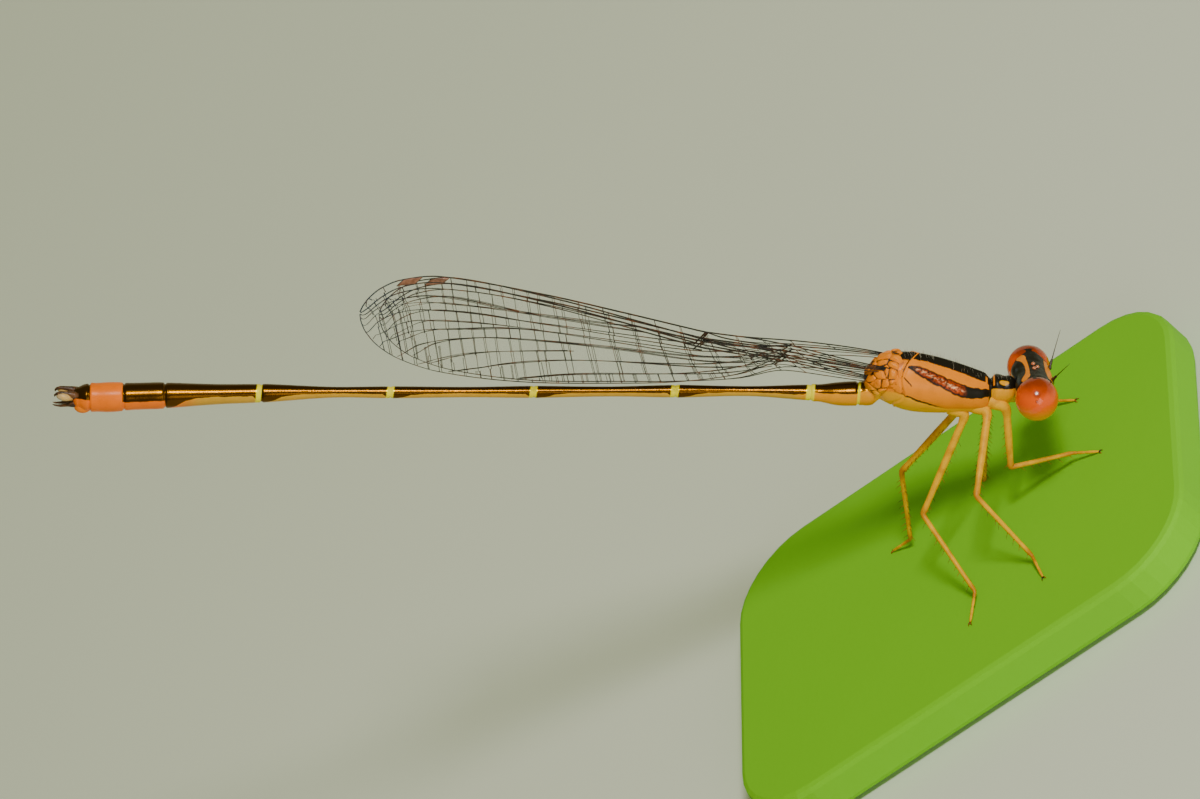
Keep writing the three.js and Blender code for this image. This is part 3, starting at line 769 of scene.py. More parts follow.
def abdomen_colour(finish, x, around):
    """Bronze back, tan sides, pale rings and an orange ninth segment, and a mask of the bronze."""
    tint = colours()
    low_edge = [(JOINTS[10], 66), (JOINTS[9] - 0.02, 74), (JOINTS[8], 86), (JOINTS[7], 88)]
    for front, rear in zip(JOINTS[2:7], JOINTS[3:8]):
        low_edge += [(rear + ahead, degrees) for ahead, degrees in FLARE]
        low_edge += [((front + rear) / 2, 76), (front - 0.3, 80)]
    low_edge += [(JOINTS[2] + 0.04, 54), (JOINTS[2] + 0.3, 66), (JOINTS[2] + 1.0, 62), (JOINTS[1] - 0.1, 66)]
    low_edge += [(JOINTS[1] + 0.1, 58), (JOINTS[0] + 0.1, 46)]
    ragged = finish.plus(around, finish.sway(2.2, 12.0))
    back = finish.below(ragged, piecewise(finish, x, low_edge), 2.0)
    under = finish.blend(finish.above(x, JOINTS[2] - 0.4, 0.4), tint.tan, tint.belly)
    under = finish.blend(finish.above(x, JOINTS[7] + 0.8, 0.7), tint.tail, under)
    tone = finish.blend(back, under, tint.bronze)
    slanted = finish.plus(x, finish.times(around, 0.0005))
    for joint, (half, ahead) in zip(JOINTS[1:7], RINGS):
        ring = finish.near(slanted, joint + ahead, half, 0.03)
        tone = finish.blend(ring, tone, tint.ring)
        back = finish.times(back, finish.inverse(ring))
    ninth = finish.between(x, JOINTS[9] + 0.02, JOINTS[8] - 0.03, 0.015)
    return finish.blend(ninth, tone, tint.tail), finish.times(back, finish.inverse(ninth))


def piecewise(finish, value, rows):
    """A line through many rows, with straight runs between them, as a chain of steps."""
    rows = sorted(rows)
    result = rows[0][1]
    for (low, before), (high, after) in zip(rows, rows[1:]):
        step = finish.add("MapRange", ("Value", value), ("From Min", low), ("From Max", high))
        step.inputs["To Max"].default_value = after - before
        result = finish.plus(result, step.outputs[0])
    return result


# The body: prothorax, thorax and abdomen as one skin.
def abdomen_rows():
    """Profile rows of the ten segments, pinched at each joint."""
    rows = []
    for (front, rear), (wide, middle, end) in zip(zip(JOINTS, JOINTS[1:]), GIRTHS):
        run = front - rear
        rows += [
            (front - 0.015, wide * JOINT_GROOVE),
            (front - 0.06, wide),
            (front - run * 0.45, middle),
            (rear + min(0.3, run * 0.2), end * 0.99),
            (rear + 0.05, end),
            (rear + 0.015, end * JOINT_GROOVE),
        ]
    return rows


def split(rows):
    """Three tables of (place, value) for the axis height, half height and half width."""
    return [tuple((row[0], row[k]) for row in rows) for k in (1, 2, 3)]


def body_profile():
    """Tables of the axis height, half height and half width of the whole body."""
    rear = [(x, along(LEVELS, x), wide / 2, wide / 2) for x, wide in abdomen_rows()]
    end = JOINTS[-1]
    tip = [(end - 0.04, along(LEVELS, end), 0.3, 0.3), (end - 0.1, along(LEVELS, end), 0.1, 0.1)]
    return split([*PRONOTUM, *THORAX, *rear, *tip])


def body_places():
    """Places of the body's rings: close together on the thorax and at the joints."""
    start = PRONOTUM[0][0]
    places = [start - i * RING_STEP for i in range(round((start - JOINTS[0]) / RING_STEP))]
    for front, rear in zip(JOINTS, JOINTS[1:]):
        steps = max(8, int((front - rear) / TAIL_STEP))
        places += [front - 0.02, front - 0.06, front - 0.1]
        places += [front - 0.1 - (front - rear - 0.2) * (i + 1) / steps for i in range(steps)]
        places += [rear + 0.06, rear + 0.015]
    places += [JOINTS[-1] - 0.04, JOINTS[-1] - 0.1]
    return sorted(set(places), reverse=True)


def on_thorax(x):
    """1 on the thorax and 0 on the neck and abdomen."""
    return smooth_step(x, *THORAX_REAR) * (1 - smooth_step(x, *THORAX_FRONT))


def narrowing(angle, share=1.0):
    """Share of its full width that a section keeps at an angle from the top."""
    return 1 - NARROWED * share * max(0.0, math.cos(angle)) ** 2


def section_angle(corner, tables, share=1.0):
    """Degrees from the top at which a corner stands on its section."""
    level, high, wide = [along(table, corner.x) for table in tables]
    angle = math.atan2(abs(corner.y) / wide, (corner.z - level) / high)
    for _ in range(6):
        angle = math.atan2(abs(corner.y) / (wide * narrowing(angle, share)), (corner.z - level) / high)
    return math.degrees(angle)


def thorax_swell(x, down):
    """How far the keel, the crest and the sutures stand off the thorax, at degrees down from the top."""
    front_part = smooth_step(x, -2.3, -2.1)
    from_crest = x - along(CREST, min(down, CREST[-1][0]))
    keel = KEEL_HEIGHT * bump(down, 0, 4) * front_part * (1 - smooth_step(x, 0.7, 0.85))
    groove = SUTURE_DEPTH * bump(down, along(SUTURE, x), GROOVE_DEGREES) * smooth_step(x, -2.9, -2.7)
    groove += STRIPE_DEPTH * bump(down, along(HUMERAL_TOP, x) + 3, GROOVE_DEGREES) * front_part
    groove += CREASE_DEPTH * bump(from_crest, CREASE_BEHIND, CREASE_DEPTH)
    groove -= CREST_HEIGHT * bump(from_crest, CREST_AHEAD, CREST_HEIGHT)
    return keel - groove * on_thorax(x)


def build_body():
    """One skin, with a keel, a crest and grooved sutures on the thorax."""
    tables = body_profile()
    places = body_places()

    def point(u, v):
        x = places[round(u * (len(places) - 1))]
        angle = (v * 2 - 1) * math.pi
        level, high, wide = [along(table, x) for table in tables]
        narrow = narrowing(angle, on_thorax(x))
        outward = Vector((0, -wide * math.sin(angle) * narrow, high * math.cos(angle)))
        swell = thorax_swell(x, abs(math.degrees(angle)))
        return Vector((x, 0, level)) + outward + outward.normalized() * swell

    piece = shaped_grid("body_skin", len(places) - 1, 96, point)
    mark(piece, "around", lambda corner: section_angle(corner, tables, on_thorax(corner.x)))
    nodes = ["thorax", "prothorax"] + [f"abdomen_{k:02d}" for k in range(1, 11)]
    settle(piece, body_finish(), nodes)


# The plates round the wing roots.
def plate_finish():
    """Orange and brown plates with dark creases between them, yellower below."""
    tint = colours()
    finish = Finish("Root plates", Specular_IOR_Level=0.3)
    brown = finish.rise(finish.attribute("tone"), 0.45, 0.85)
    mottled = finish.rise(finish.noise(7.0), 0.35, 0.65)
    broken = finish.rise(finish.noise(4.5, 2.0), 0.3, 0.5)
    crease = finish.inverse(finish.rise(finish.attribute("gap"), 0.03, 0.13))
    tone = finish.layers(
        tint.orange,
        (finish.times(brown, mottled), tint.plate_brown),
        (finish.inverse(finish.rise(finish.axes()[2], 0.5, 1.0)), tint.yellow),
        (finish.times(crease, broken), tint.black),
    )
    return finish.cuticle(tone, 0.2, 0.6)


def plate_pattern(x, down):
    """Nearness to the crease round a plate and a tone of its own, for a place and degrees from the top."""
    distances, centres = noise.voronoi(Vector((x, math.radians(down) * 0.95, 0.3)) / PLATE_SIZE)
    return distances[1] - distances[0], noise.noise(centres[0] * 3.7) * 0.5 + 0.5


def build_root_plates():
    """A cobbled collar of small plates that carries the wings."""
    tables = split(COLLAR)
    end = COLLAR[-1][0]

    def point(u, v):
        angle = (v * 2 - 1) * math.pi
        down = abs(math.degrees(angle))
        start = along(COLLAR_FRONT, down)
        x = start + (end - start) * math.sin(u * math.pi / 2)
        level, high, wide = [along(table, x) for table in tables]
        gap, tone = plate_pattern(x, down)
        sunk = 0.1 * (1 - smooth_step(u, 0.0, 0.12))
        swell = 1 - sunk - 0.02 + (0.07 + 0.04 * tone) * smooth_step(gap, 0.0, 0.4)
        across = -wide * math.sin(angle) * narrowing(angle) * swell
        return Vector((x, across, level + high * math.cos(angle) * swell))

    piece = shaped_grid("root_plates", 110, 240, point)
    mark(piece, "gap", lambda corner: plate_pattern(corner.x, section_angle(corner, tables))[0])
    mark(piece, "tone", lambda corner: plate_pattern(corner.x, section_angle(corner, tables))[1])
    settle(piece, plate_finish())


# The head.
# Radius of the skull: distance from its middle as a negative number, radius.
CROWN = (
    (-1.24, 0.6), (-1.19, 0.782), (-1.1, 0.784), (-1.0, 0.768), (-0.85, 0.75), (-0.7, 0.73), (-0.4, 0.7),
    (0, 0.68),
)
SKULL_FLAT = 0.95
# Bumps of the face: degrees from the crown down the front, distance from the middle, height, half widths.
FACE_BUMPS = (
    (66, 0.0, 0.1, 14, 0.55),
    (86, 0.0, 0.13, 9, 0.42),
    (112, 0.0, 0.15, 13, 0.4),
    (128, 0.0, 0.08, 9, 0.3),
    (102, 0.62, 0.05, 18, 0.16),
    (172, 0.0, 0.2, 20, 0.36),
    (206, 0.0, 0.1, 16, 0.34),
    (270, 0.0, -0.1, 26, 0.34),
    (248, 0.45, 0.05, 22, 0.24),
    (298, 0.5, 0.08, 22, 0.26),
)


def skull_radius(y, degrees):
    """Radius of the skull at a distance from its middle, at degrees from the crown over the face."""
    radius = along(CROWN, -abs(y))
    for turn, off, high, wide_turn, wide_off in FACE_BUMPS:
        apart = (degrees - turn + 180) % 360 - 180
        radius += high * bump(apart, 0, wide_turn) * bump(abs(y), off, wide_off)
    crown = bump((degrees + 180) % 360 - 180, 0, 62)
    radius -= 0.13 * (1 - crown) * smooth_step(abs(y), 0.75, 1.02)
    radius += 0.02 * crown * noise.noise(Vector((y * 5, degrees * 0.06, 1.5)))
    radius -= 0.018 * bump(degrees, 77, 3) * bump(y, 0, 0.5) + 0.02 * bump(degrees, 98, 3) * bump(y, 0, 0.42)
    return radius


def head_finish():
    """Black crown with an orange bar behind the simple eyes, an orange face, a yellow rear and a faint
    painted bluish sheen towards the back.
    """
    tint = colours()
    finish = Finish("Head cuticle", HEAD_TO_ROW, Specular_IOR_Level=0.3)
    turn = finish.attribute("turn")
    off = finish.plus(finish.math("ABSOLUTE", finish.axes()[1]), finish.sway(7.0, 0.05))
    bar_at = finish.edge(off, ((0, 20), (0.3, 21), (0.55, 25), (0.8, 32), (1.05, 36)))
    bar_half = finish.edge(off, ((0, 6), (0.3, 6.5), (0.55, 9), (0.76, 14), (0.88, 10), (0.97, 1)))
    miss = finish.math("ABSOLUTE", finish.plus(turn, bar_at))
    bar = finish.times(finish.below(miss, bar_half, 1.2), finish.below(off, 0.95, 0.02))
    frons = finish.times(finish.between(turn, 44.0, 76.0, 2.0), finish.below(off, 0.72, 0.04))
    face = finish.between(turn, 92.0, 235.0, 2.0, 5.0)
    clypeus = finish.between(turn, 77.0, 92.0, 2.0)
    cheek = finish.times(finish.below(turn, -82.0, 3.0), finish.above(off, 0.3, 0.06))
    # Painted sheen: faint bluish grey clouds laid as colour over the back of the head, where the crown
    # catches light.
    cloud = finish.rise(finish.noise(3.0), 0.45, 0.7)
    painted_sheen = finish.times(cloud, finish.below(turn, -50.0, 6.0), 0.25)
    tone = finish.layers(
        tint.black,
        (bar, tint.orange),
        (frons, tint.orange),
        (face, tint.yellow),
        (clypeus, tint.black),
        (cheek, tint.yellow),
        (painted_sheen, (0.2, 0.26, 0.32)),
    )
    return finish.cuticle(tone, 0.3, 0.5)


def skull_turn(corner):
    """Degrees from the crown over the face to the back of a corner of the skull, from -120 up to 240."""
    degrees = math.degrees(math.atan2(corner.x / SKULL_FLAT, corner.z))
    return degrees if degrees > -120 else degrees + 360


def build_head():
    """The skull with its face, as one closed skin."""

    def point(u, v):
        inner = 1.0 if 0 < u < 1 else 0.001
        degrees = v * 360 - 90
        y = (u * 2 - 1) * SKULL_HALF
        radius = skull_radius(y, degrees % 360) * inner
        turn = math.radians(degrees)
        return Vector((radius * math.sin(turn) * SKULL_FLAT, y, radius * math.cos(turn)))

    piece = shaped_grid("head_skin", 84, 144, point)
    mark(piece, "turn", skull_turn)
    settle(piece, head_finish(), ("head", "labium"), HEAD_TO_ROW)


def build_ocelli():
    """Three simple eyes on the crown."""
    radius = sizes().ocellus_radius / MM
    domes = []
    for y, degrees in ((0.0, 15), (0.16, 2), (-0.16, 2)):
        turn = math.radians(degrees)
        out = Vector((math.sin(turn) * SKULL_FLAT, 0, math.cos(turn)))
        domes.append(ball(radius, out * (skull_radius(y, degrees) - 0.01) + Vector((0, y, 0)), 20, 12))
    finish = Finish("Ocellus", HEAD_TO_ROW, Coat_Weight=1.0, Coat_Roughness=0.03, Specular_IOR_Level=0.7)
    tone = finish.blend(finish.noise(12.0), (0.5, 0.04, 0.01), (0.8, 0.3, 0.12))
    settle(joined("ocelli", domes), finish.base(tone, 0.15), (), HEAD_TO_ROW)


# The eyes and feelers.
# Feelers: share of the length, radius.
FEELER_LENGTH = 1.5
FEELER = (
    (0, 0.07), (0.06, 0.07), (0.1, 0.045), (0.13, 0.055), (0.24, 0.045), (0.27, 0.022), (0.4, 0.019),
    (0.55, 0.016), (0.7, 0.013), (0.85, 0.01), (1, 0.006),
)


def eye_finish(side):
    """Red brown cap, orange red middle, yellow underside, fine facets and dark false pupils."""
    tint = colours()
    shine = {"Specular_IOR_Level": 0.3, "Coat_Weight": 0.35, "Coat_Roughness": 0.1}
    finish = Finish(f"Eye {side}", HEAD_TO_ROW, **shine)
    height = finish.plus(finish.axes()[2], finish.sway(3.2, 0.28))
    upper_pupil = finish.oval((-0.08, 1.85, 0.5), (0.13, 0.3, 0.1), 0.4, 1.5)
    lower_pupil = finish.oval((-0.1, 1.96, 0.28), (0.06, 0.2, 0.06), 0.4, 1.5)
    tone = finish.layers(
        tint.eye_low,
        (finish.rise(height, -0.6, 0.1), tint.eye_red),
        (finish.rise(height, 0.28, 0.8), tint.eye_cap),
        (finish.times(upper_pupil, 0.75), tint.eye_cap),
        (finish.times(lower_pupil, 0.75), tint.eye_cap),
    )
    facets = finish.add("TexVoronoi", ("Vector", finish.at), ("Scale", 30.0), feature="SMOOTH_F1").outputs[0]
    return finish.base(tone, finish.grainy(0.12, 8.0, 0.12), finish.relief(facets, 0.12, 0.01))


def build_eyes():
    """Both compound eyes, each a ball drawn in to a small flat disc inside the head."""
    radius = sizes().eye_radius / MM
    for name, side in SIDES:
        piece = ball(radius, (0, side * EYE_AT, 0), 96, 64, rotation=(math.pi / 2, 0, 0))
        piece.name = f"compound_eye_{name}"
        for corner in piece.data.vertices:
            inward = EYE_INNER - corner.co.y * side
            if inward > 0:
                corner.co = Vector((corner.co.x * 0.35, side * EYE_INNER, corner.co.z * 0.35))
            corner.co.x *= 0.98
        tidy(piece, 1e-5)
        settle(piece, eye_finish(name), (f"eye_{name}",), HEAD_TO_ROW)


def horn_finish(name, light=None):
    """Dark horn with lighter mottling."""
    tint = colours()
    finish = Finish(name, Specular_IOR_Level=0.4)
    mottled = finish.rise(finish.noise(5.0), 0.35, 0.65)
    return finish.cuticle(finish.blend(mottled, tint.horn, light or tint.leg_brown), 0.28, 0.4)


def build_feelers():
    """Two thick joints and a thin curved whip on each side."""
    finish = horn_finish("Feeler horn", (0.06, 0.04, 0.03))
    for name, side in SIDES:
        root = Vector((0.66, side * 0.42, 0.3))
        reach = Vector((0.46, side * 0.93, 1.13)).normalized() * FEELER_LENGTH
        bend = Vector((0.05, 0, 0.02))
        path = [(root + reach * share + bend * share**2, radius) for share, radius in FEELER]
        piece = strands(f"feeler_{name}", [path], 4)
        settle(piece, finish, (f"antenna_{name}",), HEAD_TO_ROW)


# The wings.
def wing_point(kind, side, share, across):
    """A point of a wing: share of the length, and share of the width from the leading edge."""
    wing = WINGS[kind]
    top = along(LEADING, share)
    low = along(TRAILING[kind], share)
    rise = math.radians(wing["rise"])
    spanwise = Vector((-math.cos(rise), 0, math.sin(rise)))
    upward = Vector((math.sin(rise), 0, math.cos(rise)))
    settled = smooth_step(share, 0.02, 0.3)
    pleat = PLEAT * math.sin(across * 22) * settled * (1 - smooth_step(share, 0.8, 1))
    flutter = FLUTTER * math.sin(share * 5 + len(kind) + side) * share
    spread = along(wing["spread"], share)
    lower = (wing["lower"] + side * spread * WING_LEAN) * settled
    point = Vector((wing["x"], side * (spread + pleat + flutter), wing["z"] - lower))
    return point + spanwise * share * wing["length"] + upward * (top + (low - top) * across)


def long_veins(at, radius):
    """The edge veins and the long veins, each a path of points and radii."""
    edges = [(1.1, ((WING_START, 0.0), (1.0, 0.0))), (0.75, ((WING_START, 1.0), (1.0, 1.0)))]
    paths = []
    for thick, rows in (*edges, *VEINS.values()):
        start, end = rows[0][0], rows[-1][0]
        count = max(10, int((end - start) * 90))
        path = []
        for i in range(count + 1):
            share = start + (end - start) * math.sin(i / count * math.pi / 2)
            thin = radius * thick * (1 - 0.25 * smooth_step(share, 0.3, 1))
            path.append((at(share, along(rows, share)), thin))
        paths.append(path)
    return paths


def column_places():
    """Shares of the length at which rows of cross veins stand, and those halfway between that are short."""
    places = [FIRST_COLUMN, ARCULUS, 0.235, 0.285, NODUS]
    while places[-1] < 0.89:
        places.append(places[-1] + CROSS_SPACING)
    places += [0.965, 0.985, 1.0]
    return places, [(a + b) / 2 for a, b in zip(places[4:], places[5:])]


def vein_lanes(place):
    """Shares of the width at which long veins cross a column."""
    foot = place - 0.03
    crossed = [rows for _, rows in VEINS.values() if rows[0][0] <= foot <= rows[-1][0] - 0.008]
    return sorted([0.0] + [along(rows, foot) for rows in crossed]) + [1.0]


def cross_veins(at, stigma, radius, chance):
    """Short veins between neighbouring long ones, in slanting columns, with small cells at the rear edge."""
    paths = []
    for share in stigma:
        spots = [(share + STIGMA_SLANT * (t - 0.5), STIGMA_DEPTH * t) for t in (0.0, 0.5, 1.0)]
        paths.append([(at(*spot), radius * 1.4) for spot in spots])
    places, halfway = column_places()
    for place in sorted(places + halfway):
        lanes = vein_lanes(place)
        last = len(lanes) - 2
        for lane, (above, below) in enumerate(zip(lanes, lanes[1:])):
            if place in halfway and (lane < last or place > 0.93):
                continue
            if place == FIRST_COLUMN and lane > 1:
                continue
            slip = chance.uniform(-0.0035, 0.0035)
            share = min(place - COLUMN_SLANT * above + slip, 0.99)
            foot = min(place - COLUMN_SLANT * below + slip, 0.99)
            in_stigma = lane == 0 and stigma[0] - 0.01 < share < stigma[1] + 0.01
            if in_stigma or below - above < 0.015:
                continue
            path = []
            for t in (0.0, 0.25, 0.5, 0.75, 1.0):
                thick = 1.2 if t in (0.0, 1.0) else 0.95
                path.append((at(share + (foot - share) * t, above + (below - above) * t), radius * thick))
            paths.append(path)
    return paths


def oblique_marks(at, radius):
    """Thicker slanting veins at the nodus and the arculus."""
    paths = []
    shares = [i / 6 for i in range(7)]
    for share, start, reach, slant in (
        (NODUS, 0.0, 0.182, 0.012),
        (NODUS + 0.008, 0.0, 0.28, 0.02),
        (ARCULUS, 0.2, 0.462, 0.02),
    ):
        path = [(at(share + slant * (t - 0.5), start + reach * t), radius * (1.2 - 0.3 * t)) for t in shares]
        paths.append(path)
    return paths


def membrane_finish():
    """A clear film with a faint smoky tint and a weak play of colours."""
    film = {"Thin_Film_Thickness": 380.0, "Thin_Film_IOR": 1.4}
    finish = Finish("Wing membrane", Specular_IOR_Level=0.3, IOR=1.5, **film)
    cloud = finish.noise(1.2)
    fine = finish.noise(14.0, 2.0)
    tone = finish.blend(cloud, (0.5, 0.42, 0.26), (0.62, 0.6, 0.55))
    rough = finish.plus(0.08, finish.times(fine, 0.12))
    alpha = finish.plus(0.004, finish.times(cloud, 0.014))
    return finish.base(tone, rough, finish.relief(fine, 0.3, 0.02), None, alpha)


def vein_finish():
    """Black veins with brown stretches, and a painted bluish sheen towards the tip."""
    tint = colours()
    finish = Finish("Wing veins", Specular_IOR_Level=0.3)
    # Painted sheen: the veins turn bluish towards the wing tip, laid in as colour.
    tip = finish.inverse(finish.rise(finish.axes()[0], -22.0, -19.0))
    brown = finish.rise(finish.noise(3.0), 0.45, 0.75)
    tone = finish.layers(
        tint.vein,
        (finish.times(brown, 0.4), tint.leg_brown),
        (finish.times(tip, 0.35), (0.12, 0.16, 0.26)),
    )
    return finish.base(tone, finish.grainy(0.3, 20.0, 0.2))


def stigma_finish():
    """Red brown with paler mottling."""
    finish = Finish("Stigma", Specular_IOR_Level=0.5, Coat_Weight=0.2)
    mottled = finish.rise(finish.noise(6.0), 0.3, 0.7)
    tone = finish.blend(mottled, colours().stigma, (0.34, 0.15, 0.09))
    return finish.base(tone, finish.grainy(0.3, 30.0, 0.3))


def build_wing(kind, name, side, film, dark, cell):
    """One wing: its clear film, all its veins as one piece and its stigma."""
    size = sizes()
    stigma = WINGS[kind]["stigma"]

    def at(share, across):
        return wing_point(kind, side, share, across)

    def in_stigma(u, v):
        share = stigma[0] + (stigma[1] - stigma[0]) * u + STIGMA_SLANT * (v - 0.5)
        return at(share, 0.004 + 0.068 * v)

    full = 1 - WING_START
    sheet = shaped_grid(f"{kind}_{name}_membrane", 130, 26, lambda u, v: at(WING_START + full * u, v))
    settle(thickened(sheet, size.membrane / MM), film, (f"{kind}_{name}",))

    paths = long_veins(at, size.vein_radius / MM)
    chance = random.Random(len(kind) + side)
    paths += cross_veins(at, stigma, size.cross_vein_radius / MM, chance)
    paths += oblique_marks(at, size.vein_radius / MM)
    settle(strands(f"{kind}_{name}_veins", paths), dark)

    pane = shaped_grid(f"{kind}_{name}_stigma", 10, 5, in_stigma)
    settle(thickened(pane, STIGMA_THICKNESS, 0), cell)


def build_wings():
    """Both pairs of wings."""
    film, dark, cell = membrane_finish(), vein_finish(), stigma_finish()
    for kind in WINGS:
        for name, side in SIDES:
            build_wing(kind, name, side, film, dark, cell)


# The legs.
def leg_path(joints, size):
    """Centre line and radii of a leg from the body to the foot, with swollen joints, and its corners."""
    coxa, knee, ankle, tip = [Vector(joint) for joint in joints]
    tip += UP * (BASE_TOP + size.tarsus_radius / MM - (TO_ROW @ tip).z / MM)
    upper, lower, foot = size.femur_radius / MM, size.tibia_radius / MM, size.tarsus_radius / MM
    inside = coxa + Vector((-0.62, math.copysign(0.12, -coxa.y), 0.2))
    elbow_start = coxa + (inside - coxa).normalized() * 0.24
    elbow_end = coxa + (knee - coxa).normalized() * 0.3
    bend = []
    for i in range(9):
        t = i / 8
        place = elbow_start * (1 - t) ** 2 + coxa * 2 * t * (1 - t) + elbow_end * t * t
        bend.append((place, 0.235 - 0.07 * t))
    runs = (
        (inside, elbow_start, 1, ((0, 0.27), (0.5, 0.27), (0.95, 0.24))),
        (elbow_end, knee, upper, (
            (0.03, 0.145 / upper), (0.07, 1.05), (0.3, 1.08), (0.6, 1), (0.88, 0.85), (0.96, 0.95),
            (0.992, 0.78),
        )),
        (knee, ankle, lower, ((0.03, 1.15), (0.08, 1.05), (0.4, 1), (0.8, 0.9), (0.95, 0.95), (0.99, 0.8))),
        (ankle, tip, foot, (
            (0.04, 1.2), (0.16, 1.15), (0.2, 0.8), (0.24, 1.1), (0.46, 1), (0.5, 0.75), (0.54, 1), (0.9, 0.9),
            (1, 0.6),
        )),
    )
    path = []
    for start, end, radius, rows in runs:
        first, last = rows[0][0], rows[-1][0]
        shares = {row[0] for row in rows} | {first + (last - first) * i / LEG_STEPS for i in range(LEG_STEPS)}
        path += [(start.lerp(end, share), radius * along(rows, share)) for share in sorted(shares)]
        if start == inside:
            path += bend
    return path, (coxa, knee, ankle, tip)


def bristles(corners, radii, longest, chance):
    """Rows of short stiff hairs down the upper and lower leg, leaning to the foot."""
    paths = []
    for start, end, radius, first in (
        (corners[0], corners[1], radii[0], 0.22),
        (corners[1], corners[2], radii[1], 0.06),
    ):
        run = (end - start).normalized()
        side = run.cross(Vector((0, 0, 1))).normalized()
        other = run.cross(side)
        count = int((end - start).length / BRISTLE_SPACING)
        for i in range(count):
            share = first + (0.97 - first) * (i + chance.uniform(0.2, 0.8)) / count
            for way in (-1, 1):
                angle = way * math.radians(chance.uniform(48, 66)) + math.pi / 2
                out = side * math.cos(angle) + other * math.sin(angle)
                root = start.lerp(end, share) + out * radius * 0.6
                reach = longest * chance.uniform(0.8, 1.15)
                tip = root + out * reach * 0.85 + run * reach * 0.55
                paths.append([(root, 0.013), (root.lerp(tip, 0.5) + out * 0.015, 0.009), (tip, 0.003)])
    return paths


def claws(ankle, tip):
    """The two hooked claws of a foot."""
    run = (tip - ankle).normalized()
    across = run.cross(UP).normalized()
    start = tip - run * 0.02
    paths = []
    for way in (-1, 1):
        bend = start + run * 0.09 + across * 0.06 * way + UP * 0.02
        hook = bend + run * 0.06 + across * 0.03 * way - UP * 0.05
        paths.append([(start, 0.03), (bend, 0.022), (hook, 0.006)])
    return paths


def leg_finish():
    """Amber with brown streaks, browner at the joints."""
    tint = colours()
    finish = Finish("Leg cuticle", Specular_IOR_Level=0.25)
    streak = finish.rise(finish.noise(2.6), 0.42, 0.72)
    tone = finish.layers(
        tint.leg,
        (finish.times(streak, 0.4), tint.leg_brown),
        (finish.times(finish.attribute("joint"), 0.6), tint.leg_brown),
    )
    return finish.cuticle(tone, 0.32, 0.5)


def near_joint(place, knee, ankle):
    """1 at the knee and ankle, fading to 0 along the leg."""
    return 1 - smooth_step(min((place - knee).length, (place - ankle).length), 0.12, 0.5)


def build_legs():
    """Six legs, each with its bristles and claws."""
    size = sizes()
    radii = (size.femur_radius / MM, size.tibia_radius / MM)
    finish = leg_finish()
    dark = horn_finish("Bristle horn")
    for number, (name, joints) in enumerate(LEGS.items()):
        path, corners = leg_path(joints, size)
        knee, ankle, tip = corners[1:]
        leg = strands(f"leg_{name}", [path], 6)
        mark(leg, "joint", lambda place: near_joint(place, knee, ankle))
        nodes = [f"{part}_{name}" for part in ("coxa", "femur", "tibia", "tarsus")]
        settle(leg, finish, nodes)
        chance = random.Random(40 + number)
        paths = bristles(corners, radii, size.bristle / MM, chance) + claws(ankle, tip)
        settle(strands(f"bristles_{name}", paths, 1), dark)


# The claspers at the tail's end: place from the end of the tail, radius.
CLASPERS = {
    "upper_clasper": (
        (0.12, 0.2, 0.16, 0.15), (-0.08, 0.2, 0.2, 0.14), (-0.3, 0.2, 0.26, 0.09), (-0.55, 0.21, 0.29, 0.065),
        (-0.67, 0.21, 0.26, 0.055), (-0.74, 0.21, 0.2, 0.04), (-0.75, 0.21, 0.14, 0.012),
    ),
    "clasper_lobe": (
        (-0.1, 0.22, 0.08, 0.08), (-0.3, 0.26, 0.14, 0.14), (-0.46, 0.28, 0.17, 0.145),
        (-0.6, 0.28, 0.18, 0.1), (-0.68, 0.27, 0.18, 0.02),
    ),
    "lower_clasper": (
        (0.12, 0.14, -0.18, 0.15), (-0.12, 0.14, -0.2, 0.12), (-0.3, 0.13, -0.24, 0.07),
        (-0.55, 0.12, -0.28, 0.05), (-0.74, 0.1, -0.27, 0.035), (-0.84, 0.09, -0.24, 0.012),
    ),
}


def clasper(part, name, side):
    """One of the clasper's parts on one side, as a strand."""
    end = Vector((JOINTS[-1], 0, along(LEVELS, JOINTS[-1])))
    path = [(end + Vector((x, side * y, z)), radius) for x, y, z, radius in CLASPERS[part]]
    return strands(f"{part}_{name}", [path], 6)


def lobe_finish():
    """Pale brown and grey."""
    finish = Finish("Clasper lobe", Specular_IOR_Level=0.4)
    mottled = finish.rise(finish.noise(3.0), 0.4, 0.65)
    return finish.cuticle(finish.blend(mottled, (0.72, 0.42, 0.12), (0.5, 0.38, 0.25)), 0.3, 0.3)


def build_claspers():
    """Upper clasper with its pale lobe and lower clasper, on both sides."""
    dark = horn_finish("Clasper horn", (0.16, 0.06, 0.02))
    pale = lobe_finish()
    for name, side in SIDES:
        settle(clasper("upper_clasper", name, side), dark, (f"cercus_{name}",))
        settle(clasper("clasper_lobe", name, side), pale)
        settle(clasper("lower_clasper", name, side), dark, (f"paraproct_{name}",))


def build_tail_lobes():
    """Orange plates below the claspers, one on each side."""
    x, z = JOINTS[-1] + 0.26, along(LEVELS, JOINTS[-1]) - 0.3
    lobes = [ball(0.25, (x, side * 0.17, z), 32, 20, (1.25, 0.8, 0.95)) for _, side in SIDES]
    finish = Finish("Tail lobe", Specular_IOR_Level=0.2)
    tone = finish.blend(finish.noise(4.0), colours().tail, colours().orange)
    settle(joined("tail_lobes", lobes), finish.cuticle(tone, 0.25, 0.3))


